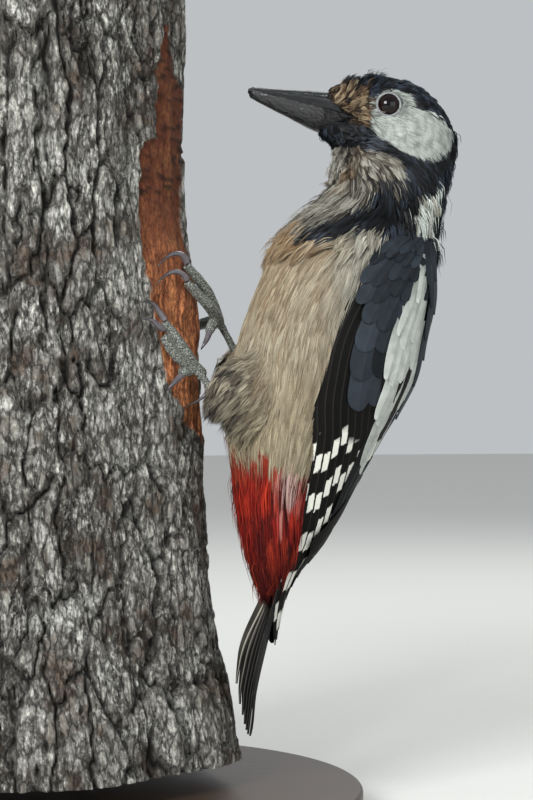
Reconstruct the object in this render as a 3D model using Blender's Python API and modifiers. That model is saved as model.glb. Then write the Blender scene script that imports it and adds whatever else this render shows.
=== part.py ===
"""Great spotted woodpecker, adult female, life size, clinging upright to a short cut length of tree trunk
that two short rods hold on a plain round base.

Lengths are in millimetres until a mesh is made, which is in metres, +Z up. The origin is the middle of the
base's underside. The bird faces -X, towards the trunk, and its left side is -Y. Everything of the bird is
measured from BIRD, a point of its middle plane beside the belly, through an empty of that name.
"""

import math

import bmesh
import bpy
from mathutils import Matrix, Vector, noise

MM = 0.001
GAP = 0.3
BIRD = Vector((56.0, -17.0, 128.3))

BASE_RADIUS = 88.0
BASE_THICKNESS = 10.0
BASE_EDGE = 1.5
ROD_RADIUS = 4.0
ROD_SPREAD = 24.0

TRUNK_MIDDLE = Vector((-75.0, 25.0, 0.0))
TRUNK_RADIUS = 54.0
TRUNK_TOP = 128.0
TRUNK_BOTTOM = -110.4
TRUNK_LEAN = -0.045
BARK_RELIEF = 1.5

# The outline of body and neck, seen from the side: height, belly, back and half width.
BODY = (
    (78.0, 22.5, 53.5, 11.0),
    (70.0, 20.0, 57.8, 13.8),
    (64.0, 20.0, 56.6, 15.0),
    (56.4, 10.8, 53.8, 18.2),
    (50.3, 4.4, 52.5, 21.2),
    (41.2, 0.3, 52.0, 24.0),
    (30.5, -4.2, 51.6, 25.5),
    (18.3, -8.6, 48.7, 26.0),
    (6.1, -10.6, 45.7, 25.0),
    (-6.1, -11.6, 38.8, 22.8),
    (-15.3, -11.8, 33.4, 20.4),
    (-24.4, -10.2, 28.2, 17.4),
    (-36.6, -7.8, 21.6, 14.4),
    (-45.0, -6.2, 16.4, 12.2),
    (-52.0, -5.0, 10.8, 10.2),
    (-61.0, -4.6, 6.4, 8.6),
    (-76.0, -3.4, 3.6, 6.0),
)
COVERTS_END = -62.5

# The head along its own axis, from the bill to the nape: forward, top, bottom and half width.
HEAD = (
    (26.0, 1.8, -6.8, 2.4),
    (24.4, 3.9, -8.8, 4.8),
    (22.4, 6.2, -10.2, 6.4),
    (18.9, 8.4, -11.6, 8.0),
    (13.1, 11.6, -12.8, 10.2),
    (9.9, 12.8, -13.2, 11.1),
    (4.9, 13.3, -13.6, 12.1),
    (-0.3, 13.3, -14.0, 12.7),
    (-6.0, 12.3, -14.0, 12.9),
    (-10.1, 10.0, -14.0, 12.5),
    (-13.5, 7.2, -14.0, 11.6),
    (-16.9, 3.6, -14.0, 10.0),
    (-19.4, -1.6, -13.0, 7.0),
    (-20.6, -5.5, -10.0, 3.0),
)
HEAD_AT = Vector((41.0, 0.0, 85.4))
HEAD_PITCH = math.radians(15.0)
HEAD_YAW = math.radians(12.0)

# The bill along the same axis: forward, ridge, gape line, keel and half width.
BILL = (
    (16.5, 4.6, -2.0, -8.6, 5.2),
    (22.0, 4.2, -2.0, -8.6, 4.7),
    (27.0, 3.1, -1.9, -8.0, 4.0),
    (32.5, 1.8, -1.9, -6.8, 3.2),
    (38.7, 0.3, -1.8, -5.3, 2.3),
    (43.0, -0.7, -1.8, -3.8, 1.5),
    (46.0, -1.3, -1.8, -2.5, 0.9),
    (46.8, -1.5, -1.8, -2.3, 0.7),
)

EYE_RADIUS = 4.0
EYE_AT = (4.0, 3.4, 9.2)

# The folded wing on the body's outline: height, front edge and back edge in degrees round from the belly,
# and thickness.
WING = (
    (50.0, 112.0, 128.0, 0.9),
    (47.0, 101.0, 139.0, 2.0),
    (43.0, 92.0, 146.0, 2.8),
    (36.0, 82.0, 151.0, 3.2),
    (26.0, 75.0, 155.0, 3.2),
    (12.0, 72.0, 160.0, 3.2),
    (0.0, 74.0, 164.0, 3.0),
    (-14.0, 84.0, 169.0, 2.8),
    (-32.0, 87.0, 172.0, 2.4),
    (-48.0, 90.0, 170.0, 2.0),
    (-62.0, 96.0, 158.0, 1.5),
    (-71.0, 112.0, 148.0, 1.1),
    (-74.5, 122.0, 138.0, 0.8),
)
WING_PROUD = 0.8
WING_EDGE = 0.6
WING_ROOM = 0.45

# The tail: height, middle, how far its sides curl towards the trunk, half width and thickness.
TAIL = (
    (-44.0, 8.6, 1.0, 7.5, 2.0),
    (-54.0, 4.6, 2.0, 10.5, 2.0),
    (-64.0, 1.8, 3.6, 14.0, 1.8),
    (-76.0, -1.2, 5.0, 17.0, 1.6),
    (-88.0, -4.0, 4.0, 16.0, 1.5),
    (-95.0, -4.9, 2.2, 11.0, 1.4),
    (-100.0, -5.5, 1.0, 6.0, 1.2),
    (-102.0, -5.8, 0.6, 3.0, 1.0),
)
TAIL_EDGE = 0.6

COLOURS = {
    "head": (0.06, 0.06, 0.07),
    "neck": (0.55, 0.52, 0.46),
    "trunk": (0.58, 0.48, 0.37),
    "vent": (0.55, 0.03, 0.02),
    "thigh": (0.36, 0.32, 0.28),
    "wing": (0.04, 0.04, 0.05),
    "tail": (0.03, 0.03, 0.03),
    "bill": (0.05, 0.06, 0.07),
    "eye": (0.02, 0.008, 0.006),
    "foot": (0.24, 0.26, 0.26),
    "claw": (0.16, 0.15, 0.16),
    "perch": (0.27, 0.24, 0.21),
    "stand": (0.05, 0.045, 0.04),
    "rod": (0.55, 0.55, 0.56),
}
# Roughness and metallic, where a piece isn't matt.
FINISHES = {
    "bill": (0.35, 0.0),
    "eye": (0.05, 0.0),
    "claw": (0.35, 0.0),
    "stand": (0.4, 0.0),
    "rod": (0.3, 1.0),
}


# ---- scene, collections and materials


def clear_scene():
    for obj in list(bpy.data.objects):
        bpy.data.objects.remove(obj)


def collection(name):
    made = bpy.data.collections.new(name)
    bpy.context.scene.collection.children.link(made)
    return made


def material(name):
    found = bpy.data.materials.get(name)
    if found:
        return found
    made = bpy.data.materials.new(name)
    made.use_nodes = True
    shader = made.node_tree.nodes["Principled BSDF"]
    roughness, metallic = FINISHES.get(name, (0.75, 0.0))
    shader.inputs["Base Color"].default_value = (*COLOURS[name], 1.0)
    shader.inputs["Roughness"].default_value = roughness
    shader.inputs["Metallic"].default_value = metallic
    return made


def add_object(name, mesh, kind, into, parent=None):
    """A new object; kind names its material, or is None for a cutter or a guide."""
    obj = bpy.data.objects.new(name, mesh)
    into.objects.link(obj)
    if parent:
        obj.parent = parent
    if kind:
        mesh.materials.clear()
        mesh.materials.append(material(kind))
    else:
        obj.hide_render = True
        obj.display_type = "WIRE"
    return obj


# ---- curves through rows of numbers, and lofts over rings


def row_at(rows, key):
    """The row at a key, on a smooth curve through the rows. The keys run downwards or upwards."""
    sign = 1.0 if rows[-1][0] > rows[0][0] else -1.0
    last = len(rows) - 1
    first = 0
    while first < last - 1 and sign * key > sign * rows[first + 1][0]:
        first += 1
    before, low, high, after = (rows[min(last, max(0, first + step))] for step in (-1, 0, 1, 2))
    span = high[0] - low[0]
    share = min(1.0, max(0.0, (key - low[0]) / span))
    found = []
    for column in range(1, len(low)):
        rise_low = (high[column] - before[column]) / ((high[0] - before[0]) or span) * span
        rise_high = (after[column] - low[column]) / ((after[0] - low[0]) or span) * span
        cube, square = share**3, share**2
        found.append(
            (2 * cube - 3 * square + 1) * low[column]
            + (cube - 2 * square + share) * rise_low
            + (3 * square - 2 * cube) * high[column]
            + (cube - square) * rise_high
        )
    return found


def steps(start, end, count):
    return [start + (end - start) * k / (count - 1) for k in range(count)]


def loft(shape, rings):
    """Adds to a bmesh a closed skin over rings of points, in millimetres."""
    loops = [[shape.verts.new(point * MM) for point in ring] for ring in rings]
    faces = [shape.faces.new(loops[0]), shape.faces.new(loops[-1])]
    for ring, other in zip(loops, loops[1:]):
        for k in range(len(ring)):
            faces.append(shape.faces.new((ring[k - 1], ring[k], other[k], other[k - 1])))
    bmesh.ops.recalc_face_normals(shape, faces=faces)


def mesh_of(name, shape):
    mesh = bpy.data.meshes.new(name)
    shape.to_mesh(mesh)
    shape.free()
    mesh.shade_smooth()
    return mesh


def loft_mesh(name, *skins):
    shape = bmesh.new()
    for rings in skins:
        loft(shape, rings)
    return mesh_of(name, shape)


# ---- the body, head and thighs as one form


def body_point(height, degrees, side=-1.0, grow=0.0):
    """A point of the body's outline, so many degrees round from the belly towards the back."""
    belly, back, half_width = row_at(BODY, height)
    angle = math.radians(degrees)
    depth = (back - belly) / 2 + grow
    return Vector(
        (
            (belly + back) / 2 - depth * math.cos(angle),
            side * (half_width + grow) * math.sin(angle),
            height,
        )
    )


def body_rings(sides=24):
    heights = steps(BODY[0][0], COVERTS_END, 40)
    return [[body_point(z, 360.0 * k / sides) for k in range(sides)] for z in heights]


def head_axes():
    """Forward, up and left of the head."""
    turn = Matrix.Rotation(-HEAD_YAW, 3, "Z") @ Matrix.Rotation(HEAD_PITCH, 3, "Y")
    return turn @ Vector((-1, 0, 0)), turn @ Vector((0, 0, 1)), turn @ Vector((0, -1, 0))


def head_point(forward, up, left):
    along, top, side = head_axes()
    return HEAD_AT + along * forward + top * up + side * left


def head_rings(sides=20):
    rings = []
    for forward in steps(HEAD[0][0], HEAD[-1][0], 24):
        top, bottom, half_width = row_at(HEAD, forward)
        middle, half_height = (top + bottom) / 2, (top - bottom) / 2
        ring = []
        for k in range(sides):
            angle = math.tau * k / sides
            up, left = middle + half_height * math.cos(angle), half_width * math.sin(angle)
            ring.append(head_point(forward, up, left))
        rings.append(ring)
    return rings


THIGHS = {
    "left": (Vector((-9.0, -12.6, 2.0)), Vector((11.2, 8.6, 10.6))),
    "right": (Vector((-4.0, 13.0, 8.0)), Vector((8.5, 7.5, 10.0))),
}


def add_ellipsoid(shape, middle, radii, grow=0.0):
    size = Matrix.Diagonal([*((radii + Vector((grow,) * 3)) * MM), 1.0])
    place = Matrix.Translation(middle * MM) @ size
    bmesh.ops.create_uvsphere(shape, u_segments=20, v_segments=12, radius=1.0, matrix=place)


def as_mesh(obj, name):
    """The object's mesh with its modifiers applied; the object is removed."""
    bpy.context.view_layer.update()
    mesh = bpy.data.meshes.new_from_object(obj.evaluated_get(bpy.context.evaluated_depsgraph_get()))
    mesh.name = name
    bpy.data.objects.remove(obj)
    return mesh


def fuse(name, mesh, voxel, smoothing, keep, into):
    """One closed, soft surface over shapes that overlap, with a share of its triangles kept."""
    obj = add_object(name, mesh, None, into)
    remesh = obj.modifiers.new("fuse", "REMESH")
    remesh.mode = "VOXEL"
    remesh.voxel_size = voxel * MM
    smooth = obj.modifiers.new("soften", "SMOOTH")
    smooth.iterations = smoothing
    thin = obj.modifiers.new("thin", "DECIMATE")
    thin.ratio = keep
    return as_mesh(obj, name)


def whole_body(cutters):
    shape = bmesh.new()
    loft(shape, body_rings())
    loft(shape, head_rings())
    for middle, radii in THIGHS.values():
        add_ellipsoid(shape, middle, radii)
    return fuse("whole_body", mesh_of("whole_body", shape), 1.5, 6, 0.055, cutters)


# ---- wings, tail, bill and eyes


def wing_rings(side, grow=0.0, across=7, along=15):
    """The wing lies on the body's outline, from a little proud of it to its thickness inside it."""
    rings = []
    for height in steps(WING[0][0] + grow, WING[-1][0] - grow, along):
        front, back, thickness = row_at(WING, height)
        outer, inner = [], []
        for share in steps(0.0, 1.0, across):
            degrees = front + (back - front) * share + grow * 3.0 * (2 * share - 1)
            thick = WING_EDGE + (thickness - WING_EDGE) * math.sin(math.pi * share)
            outer.append(body_point(height, degrees, side, WING_PROUD + grow))
            inner.append(body_point(height, degrees, side, WING_PROUD - thick - grow))
        rings.append(outer + inner[::-1])
    return rings


def tail_rings(grow=0.0, across=9, along=12):
    rings = []
    for height in steps(TAIL[0][0] + grow, TAIL[-1][0] - grow, along):
        middle, curl, half_width, thickness = row_at(TAIL, height)
        outer, inner = [], []
        for share in steps(-1.0, 1.0, across):
            thick = TAIL_EDGE + (thickness - TAIL_EDGE) * (1 - share * share) + 2 * grow
            place = Vector((middle - curl * share * share, share * (half_width + grow), height))
            outer.append(place + Vector((thick / 2, 0, 0)))
            inner.append(place - Vector((thick / 2, 0, 0)))
        rings.append(outer + inner[::-1])
    return rings


def bill_rings(upper, grow=0.0, sides=12):
    """Half of the bill: a round-backed wedge, flat along the gape line."""
    rings = []
    start, end = BILL[0][0], BILL[-1][0]
    for forward in steps(start - grow, end + grow, 10):
        ridge, gape, keel, half_width = row_at(BILL, min(end, max(start, forward)))
        rim = gape + (GAP / 2 - grow if upper else grow - GAP / 2)
        peak = ridge + grow if upper else keel - grow
        ring = []
        for k in range(sides):
            angle = math.pi * k / (sides - 1)
            left = (half_width + grow) * math.cos(angle)
            ring.append(head_point(forward, rim + (peak - rim) * max(0.0, math.sin(angle)) ** 0.85, left))
        rings.append(ring)
    return rings


def ball(name, middle, radius):
    shape = bmesh.new()
    place = Matrix.Translation(middle * MM)
    bmesh.ops.create_uvsphere(shape, u_segments=16, v_segments=9, radius=radius * MM, matrix=place)
    return mesh_of(name, shape)


# ---- the trunk


def bump(value, width):
    return math.exp(-((value / width) ** 2))


def trunk_radius(degrees, height):
    """The bark's distance from the trunk's middle. Degrees run from +X towards -Y."""
    angle = math.radians(degrees)
    wrap = (degrees + 180.0) % 360.0 - 180.0
    place = Vector((math.cos(angle), math.sin(angle), 0)) * 4.2 + Vector((0, 0, height * 0.02))
    fine = Vector((math.cos(angle), math.sin(angle), 0)) * 9.0 + Vector((7.0, 0, height * 0.05))
    relief = BARK_RELIEF * noise.noise(place) + BARK_RELIEF * 0.8 * noise.noise(fine)
    foot = min(1.0, max(0.0, (-60.0 - height) / 50.0))
    flare = 7.0 * foot * foot * (3 - 2 * foot)
    hollow = 3.6 * bump(height - 66.0, 26.0) * bump(wrap - 8.0, 36.0)
    return TRUNK_RADIUS + 5.0 * bump(wrap - 18, 15) - 4.5 * bump(wrap - 56, 24) - hollow + flare + relief


def on_trunk(degrees, height, lift=0.0):
    """A point so far off the bark, measured from BIRD as everything of the bird is."""
    angle = math.radians(degrees)
    radius = trunk_radius(degrees, height) + lift
    lean = Vector((TRUNK_LEAN * (height - 30.0), 0, height))
    return TRUNK_MIDDLE + lean + radius * Vector((math.cos(angle), -math.sin(angle), 0))


def trunk_rings(sides=40, rows=15):
    heights = steps(TRUNK_BOTTOM, TRUNK_TOP, rows)
    return [[on_trunk(360.0 * k / sides, z) for k in range(sides)] for z in heights]


# ---- legs, toes and claws: each a strand of points with a radius at each

TARSUS_RADIUS = 1.25
SHANK_POCKET = 2.0
TOE_RADII = (2.1, 2.0, 1.9, 1.75, 1.5)
CLAW_RADII = (1.2, 1.15, 1.0, 0.75, 0.45, 0.12)


def bent(points, count):
    """Points on a smooth curve through a few."""
    rows = [(float(k), *point) for k, point in enumerate(points)]
    return [Vector(row_at(rows, key)) for key in steps(0.0, float(len(points) - 1), count)]


# Each foot: heel, ball of the foot, then for each toe the points to its tip and those of its claw, all as
# degrees round the trunk, height and lift off the bark. Toes 2 and 3 point up, 4 to the side, 1 down.
FEET = {
    "left": {
        "heel": Vector((-14.5, -9.5, -4.0)),
        "ball": on_trunk(29.5, 9.8, 3.6),
        "toes": {
            3: ((34.0, 16.5, 3.2), (39.2, 23.2, 2.4)),
            2: ((35.5, 12.8, 3.2), (40.6, 18.8, 2.4)),
            4: ((28.5, 8.6, 4.6), (27.8, 7.2, 4.8)),
            1: ((32.0, 8.6, 2.8), (33.6, 7.8, 2.4)),
        },
        "claws": {
            3: ((41.0, 25.6, 2.8), (44.2, 28.8, 3.0), (46.6, 28.9, 0.8)),
            2: ((42.6, 21.2, 2.8), (45.8, 23.9, 3.0), (48.2, 23.6, 0.8)),
            4: ((27.2, 5.0, 5.1), (26.6, 1.2, 4.6), (31.0, -2.3, 0.8)),
            1: ((36.6, 6.0, 3.0), (38.6, 4.3, 2.4), (39.6, 2.4, 0.8)),
        },
    },
    "right": {
        "heel": Vector((-5.0, 13.0, 8.0)),
        "ball": Vector((-13.0, 10.6, 24.6)),
        "toes": {
            3: ((19.5, 33.0, 3.4), (28.5, 40.6, 2.2)),
            2: ((21.0, 28.8, 3.4), (29.0, 35.4, 2.2)),
            4: ((3.0, 24.0, 4.0), (-6.0, 22.0, 2.0)),
            1: ((17.0, 23.0, 3.4), (19.0, 20.6, 2.6)),
        },
        "claws": {
            3: ((31.5, 43.8, 3.4), (35.5, 43.4, 2.8), (38.5, 39.6, 1.0)),
            2: ((32.0, 38.4, 3.4), (36.0, 38.0, 2.8), (39.0, 34.4, 1.0)),
            4: ((-9.0, 20.0, 2.8), (-11.0, 17.2, 2.2), (-11.5, 14.6, 0.8)),
            1: ((21.5, 18.8, 2.6), (23.0, 17.0, 1.8), (23.5, 15.2, 0.8)),
        },
    },
}


def toe_path(foot, toe):
    return [foot["ball"], *(on_trunk(*place) for place in foot["toes"][toe])]


def claw_path(foot, toe):
    """From just past the toe's rounded tip, over its arch and down to the bark."""
    tip = on_trunk(*foot["toes"][toe][-1])
    rest = [on_trunk(*place) for place in foot["claws"][toe]]
    return [tip + (rest[0] - tip).normalized() * (TOE_RADII[-1] + GAP), *rest]


def strands_mesh(name, strands, into):
    """Round tapering tubes in one curve object, made a mesh with its caps welded."""
    curve = bpy.data.curves.new(name, "CURVE")
    curve.dimensions = "3D"
    curve.bevel_depth = MM
    curve.bevel_resolution = 1
    curve.use_fill_caps = True
    for points, radii in strands:
        spline = curve.splines.new("POLY")
        spline.points.add(len(points) - 1)
        for place, point, radius in zip(spline.points, points, radii):
            place.co = (*(point * MM), 1.0)
            place.radius = radius
    mesh = as_mesh(add_object(name, curve, None, into), name)
    shape = bmesh.new()
    shape.from_mesh(mesh)
    bmesh.ops.remove_doubles(shape, verts=shape.verts, dist=1e-6)
    bmesh.ops.recalc_face_normals(shape, faces=shape.faces)
    shape.to_mesh(mesh)
    shape.free()
    return mesh


def foot_mesh(name, foot, into):
    """The scaly shank with its four toes, fused."""
    heel, ball = foot["heel"], foot["ball"]
    shank = bent([heel, (heel + ball) / 2 + Vector((0.8, 0, 0)), ball], 6)
    strands = [(shank, [TARSUS_RADIUS * 1.2] + [TARSUS_RADIUS] * 4 + [TARSUS_RADIUS * 1.4])]
    for toe in foot["toes"]:
        strands.append((bent(toe_path(foot, toe), 5), TOE_RADII))
    return fuse(name, strands_mesh(name, strands, into), 0.45, 3, 0.06, into)


# ---- parting

# The cuts across the flesh: a point and a direction that points up the body.
NECK_TOP = (Vector((36.0, 0.0, 69.5)), Vector((-0.10, 0.0, 1.0)))
NECK_BASE = (Vector((28.0, 0.0, 53.0)), Vector((-0.35, 0.0, 1.0)))
VENT_TOP = (Vector((8.0, 0.0, -19.0)), Vector((0.15, 0.0, 1.0)))
BLOCK = 300.0
THIGH_MARGIN = 0.6
SIDES = {"left": -1.0, "right": 1.0}


def half_space(cut, up):
    """A big block on one side of a cut, half a gap away from it."""
    point, normal = cut
    outward = normal.normalized() * (1.0 if up else -1.0)
    turn = outward.to_track_quat("Z", "Y").to_matrix().to_4x4()
    face = Matrix.Translation((point + outward * GAP / 2) * MM) @ turn
    shape = bmesh.new()
    bmesh.ops.create_cube(shape, size=BLOCK * MM, matrix=face @ Matrix.Translation((0, 0, BLOCK / 2 * MM)))
    return mesh_of("block", shape)


def thigh_mesh(side, grow):
    middle, radii = THIGHS[side]
    shape = bmesh.new()
    add_ellipsoid(shape, middle, radii, grow)
    return mesh_of("thigh", shape)


def shank_mesh(side, into):
    """The room that the shank takes in the thigh's feathers, past its heel."""
    heel, ball_of_foot = FEET[side]["heel"], FEET[side]["ball"]
    start = heel + (heel - ball_of_foot).normalized() * SHANK_POCKET
    points = [start.lerp(ball_of_foot, share) for share in steps(0.0, 1.0, 6)]
    return strands_mesh("shank", [(points, [TARSUS_RADIUS * 1.6 + GAP] * 6)], into)


def eye_middle(side):
    forward, up, out = EYE_AT
    return head_point(forward, up, -SIDES[side] * out)


def boolean(obj, other, operation):
    """The meshes here are closed, but a thinned one may touch itself, which use_self allows for."""
    cut = obj.modifiers.new(f"{operation.lower()} {other.name}", "BOOLEAN")
    cut.operation = operation
    cut.object = other
    cut.use_self = True


def add_flesh(part, cutter, cutters):
    """Head, neck, trunk, vent and thighs, parted from one form, with room for what sits in them."""
    neck_up, neck_down = (cutter(f"neck_{up}", half_space(NECK_TOP, up)) for up in (True, False))
    breast_up, breast_down = (cutter(f"breast_{up}", half_space(NECK_BASE, up)) for up in (True, False))
    vent_up, vent_down = (cutter(f"vent_{up}", half_space(VENT_TOP, up)) for up in (True, False))
    wings = cutter("wings_room", loft_mesh("room", *(wing_rings(way, WING_ROOM) for way in SIDES.values())))
    tail = cutter("tail_room", loft_mesh("room", tail_rings(GAP)))
    bill = [cutter(f"bill_room_{half}", loft_mesh("room", bill_rings(half, GAP))) for half in (True, False)]
    eyes = [cutter(f"eye_room_{s}", ball("room", eye_middle(s), EYE_RADIUS + GAP)) for s in SIDES]
    thigh = {s: cutter(f"thigh_cut_{s}", thigh_mesh(s, THIGH_MARGIN)) for s in SIDES}
    thigh_room = {s: cutter(f"thigh_room_{s}", thigh_mesh(s, THIGH_MARGIN + GAP)) for s in SIDES}
    shank = {s: cutter(f"shank_room_{s}", shank_mesh(s, cutters)) for s in SIDES}

    pieces = (
        ("head", (neck_up,), (*bill, *eyes)),
        ("neck", (neck_down, breast_up), (wings,)),
        ("trunk", (breast_down, vent_up), (wings, *thigh_room.values())),
        ("vent", (vent_down,), (wings, *thigh_room.values(), tail)),
        ("thigh_left", (thigh["left"],), (wings, shank["left"])),
        ("thigh_right", (thigh["right"],), (wings, shank["right"], thigh_room["left"])),
    )
    whole = whole_body(cutters)
    for name, kept, removed in pieces:
        piece = part(name, whole.copy(), name.split("_")[0])
        for other in kept:
            boolean(piece, other, "INTERSECT")
        for other in removed:
            boolean(piece, other, "DIFFERENCE")
    return tail


def add_leg(part, side, cutters):
    foot = FEET[side]
    part(f"foot_{side}", foot_mesh(f"foot_{side}", foot, cutters), "foot")
    for toe in sorted(foot["claws"]):
        path = bent(claw_path(foot, toe), len(CLAW_RADII))
        part(f"claw_{side}_{toe}", strands_mesh("claw", [(path, CLAW_RADII)], cutters), "claw")


def disc(name, middle, radius, height, segments, kind, parts):
    shape = bmesh.new()
    bmesh.ops.create_cone(
        shape,
        cap_ends=True,
        segments=segments,
        radius1=radius * MM,
        radius2=radius * MM,
        depth=height * MM,
        matrix=Matrix.Translation(middle * MM),
    )
    return add_object(name, mesh_of(name, shape), kind, parts)


def add_stand(parts):
    """A flat round base, and two short rods that fill the space up to the trunk."""
    middle = Vector((0, 0, BASE_THICKNESS / 2))
    base = disc("stand_base", middle, BASE_RADIUS, BASE_THICKNESS, 48, "stand", parts)
    bevel = base.modifiers.new("eased edge", "BEVEL")
    bevel.width = BASE_EDGE * MM
    bevel.segments = 1
    bevel.limit_method = "ANGLE"
    low, high = BASE_THICKNESS + GAP, BIRD.z + TRUNK_BOTTOM - GAP
    for number, way in ((1, -1), (2, 1)):
        middle = BIRD + TRUNK_MIDDLE + Vector((way * ROD_SPREAD, 0, 0))
        middle.z = (low + high) / 2
        disc(f"stand_rod_{number}", middle, ROD_RADIUS, high - low, 24, "rod", parts)


def main():
    clear_scene()
    parts = collection("great_spotted_woodpecker")
    cutters = collection("cutters")
    bird = bpy.data.objects.new("BIRD", None)
    bird.location = BIRD * MM
    parts.objects.link(bird)

    def cutter(name, mesh):
        return add_object(name, mesh, None, cutters, bird)

    def part(name, mesh, kind):
        return add_object(name, mesh, kind, parts, bird)

    tail_room = add_flesh(part, cutter, cutters)
    for side, way in SIDES.items():
        wing = part(f"wing_{side}", loft_mesh("wing", wing_rings(way)), "wing")
        boolean(wing, tail_room, "DIFFERENCE")
        part(f"eye_{side}", ball("eye", eye_middle(side), EYE_RADIUS), "eye")
        add_leg(part, side, cutters)
    part("tail", loft_mesh("tail", tail_rings()), "tail")
    part("bill_upper", loft_mesh("bill", bill_rings(True)), "bill")
    part("bill_lower", loft_mesh("bill", bill_rings(False)), "bill")
    part("perch_trunk", loft_mesh("perch", trunk_rings()), "perch")
    add_stand(parts)


main()
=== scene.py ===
"""The looks of a life-size great spotted woodpecker on its perch and stand.

Lengths are in millimetres until a mesh is made. The bird is measured from HOME, a point of its middle
plane just inside the belly: it faces -X, its left side is -Y and up is +Z. One skin lies under a coat of
small solid feathers; the flight feathers, coverts, scapulars and tail are single vanes laid on the outline.
"""

import math

import bmesh
import bpy
import numpy as np
from bpy.props import FloatProperty, FloatVectorProperty, IntProperty, PointerProperty
from mathutils import Matrix, Vector, noise
from mathutils.bvhtree import BVHTree
from mathutils.kdtree import KDTree


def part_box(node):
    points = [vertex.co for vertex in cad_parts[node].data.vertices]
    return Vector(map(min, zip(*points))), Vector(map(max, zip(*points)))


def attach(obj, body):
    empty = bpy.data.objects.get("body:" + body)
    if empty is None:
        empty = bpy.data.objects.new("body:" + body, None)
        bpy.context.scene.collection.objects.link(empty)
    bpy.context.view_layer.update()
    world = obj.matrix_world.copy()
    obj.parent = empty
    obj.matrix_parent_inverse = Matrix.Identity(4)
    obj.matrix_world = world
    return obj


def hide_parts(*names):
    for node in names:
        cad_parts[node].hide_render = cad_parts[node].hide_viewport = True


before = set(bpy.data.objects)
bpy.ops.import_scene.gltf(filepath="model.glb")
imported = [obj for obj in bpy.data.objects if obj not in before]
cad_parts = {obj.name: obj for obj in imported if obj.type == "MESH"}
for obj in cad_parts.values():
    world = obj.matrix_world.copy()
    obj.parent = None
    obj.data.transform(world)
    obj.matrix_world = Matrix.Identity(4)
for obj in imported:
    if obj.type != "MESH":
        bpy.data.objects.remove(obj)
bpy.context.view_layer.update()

bl_info = {
    "name": "Great Spotted Woodpecker",
    "version": (1, 0, 0),
    "blender": (4, 5, 0),
    "location": "3D View > Sidebar > Woodpecker",
    "description": "Makes the feathers, bill, eyes, feet, perch and stand of a life-size woodpecker",
    "category": "Add Mesh",
}

MM = 0.001


def node_corners(name):
    """A CAD node's lowest and highest corners, in millimetres."""
    return [np.array(corner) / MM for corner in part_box(name)]


# The perch's foot stands midway between the rods, and the bird is placed from there.
RODS = [np.mean(node_corners(f"stand_rod_{number}"), axis=0) for number in (1, 2)]
PERCH_TOP = 128.0
PERCH_MIDDLE = np.array((-75.0, 25.0, 0.0))
HOME = np.mean(RODS, axis=0) - PERCH_MIDDLE
HOME[2] = node_corners("perch_trunk")[1][2] - PERCH_TOP
SIDES = {"left": -1.0, "right": 1.0}


def linear(code):
    """An sRGB hex colour as linear red, green and blue."""
    parts = [int(code[k : k + 2], 16) / 255 for k in (1, 3, 5)]
    return tuple(c / 12.92 if c <= 0.04045 else ((c + 0.055) / 1.055) ** 2.4 for c in parts)


# ---- sizes and colours that a user may change


def colour_property(name, description, code):
    return FloatVectorProperty(
        name=name, description=description, subtype="COLOR", size=3, min=0.0, max=1.0, default=linear(code)
    )


def length_property(name, description, millimetres):
    return FloatProperty(
        name=name, description=description, default=millimetres * MM, min=0.0, subtype="DISTANCE",
        unit="LENGTH",
    )


class WoodpeckerPlumage(bpy.types.PropertyGroup):
    """Colours and depth of the coat of feathers"""

    black: colour_property("Black", "Crown, nape, neck band and back", "#0B0D10")
    black_sheen: colour_property("Blue black", "Gloss of the black feathers", "#2A323D")
    white: colour_property("Cheek white", "Cheek and the arc above the eye", "#ABB2AC")
    cream: colour_property("Cream", "Side of the neck and upper breast", "#8F8E84")
    buff: colour_property("Buff", "Breast and belly", "#7C6E5A")
    pale_buff: colour_property("Pale buff", "Pale streaks of breast and throat", "#99917D")
    stain: colour_property("Resin stain", "Brown stain on the breast", "#7C5F3E")
    tan: colour_property("Forehead tan", "Stained bristles of the forehead", "#5A4632")
    grey: colour_property("Belly grey", "Lower belly and flank", "#8E826A")
    thigh: colour_property("Thigh", "Loose feathers of the thigh", "#544E45")
    red: colour_property("Vent red", "Loose undertail feathers", "#8E1B12")
    deep_red: colour_property("Deep red", "Shaded undertail feathers", "#3E0907")
    coat_depth: length_property("Coat depth", "Height of the coat over the skin of the body", 1.1)
    face_depth: length_property("Face depth", "Height of the coat over the skin of the head", 0.7)
    fullness: FloatProperty(
        name="Fullness", description="Share of the full number of small feathers", default=1.0, min=0.1,
        max=1.2,
    )


class WoodpeckerWings(bpy.types.PropertyGroup):
    """Colours and sizes of the wing and tail feathers"""

    quill_brown: colour_property("Quill brown", "Vanes of the flight feathers", "#080706")
    covert: colour_property("Covert", "Blue-black wing coverts", "#20252B")
    tertial: colour_property("Tertial", "Inner flight feathers", "#0C0D10")
    spot: colour_property("Spot", "White bars of the flight feathers", "#C6C6BD")
    scapular: colour_property("Scapular", "White shoulder patch", "#9EA29D")
    tail_black: colour_property("Tail black", "Middle tail feathers", "#0D0D0E")
    tail_grey: colour_property("Tail grey", "Outer tail feathers", "#4B4943")
    bar_spacing: length_property("Bar spacing", "Distance between two rows of white spots", 12.0)
    vane_thickness: length_property("Vane thickness", "Thickness of a flight feather's vane", 0.16)


class WoodpeckerHardParts(bpy.types.PropertyGroup):
    """Colours of bill, eyes, feet and claws"""

    horn: colour_property("Bill horn", "Slate-black horn of the bill", "#08090A")
    iris: colour_property("Iris", "Dark red-brown iris", "#180807")
    lid: colour_property("Eyelid", "Bare grey rim of the eye", "#9B9E9E")
    foot: colour_property("Foot", "Scales of shank and toes", "#8E938B")
    foot_gap: colour_property("Scale gaps", "Skin between the scales", "#2C2A27")
    claw: colour_property("Claw", "Horn of the claws", "#6A656A")


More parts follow.
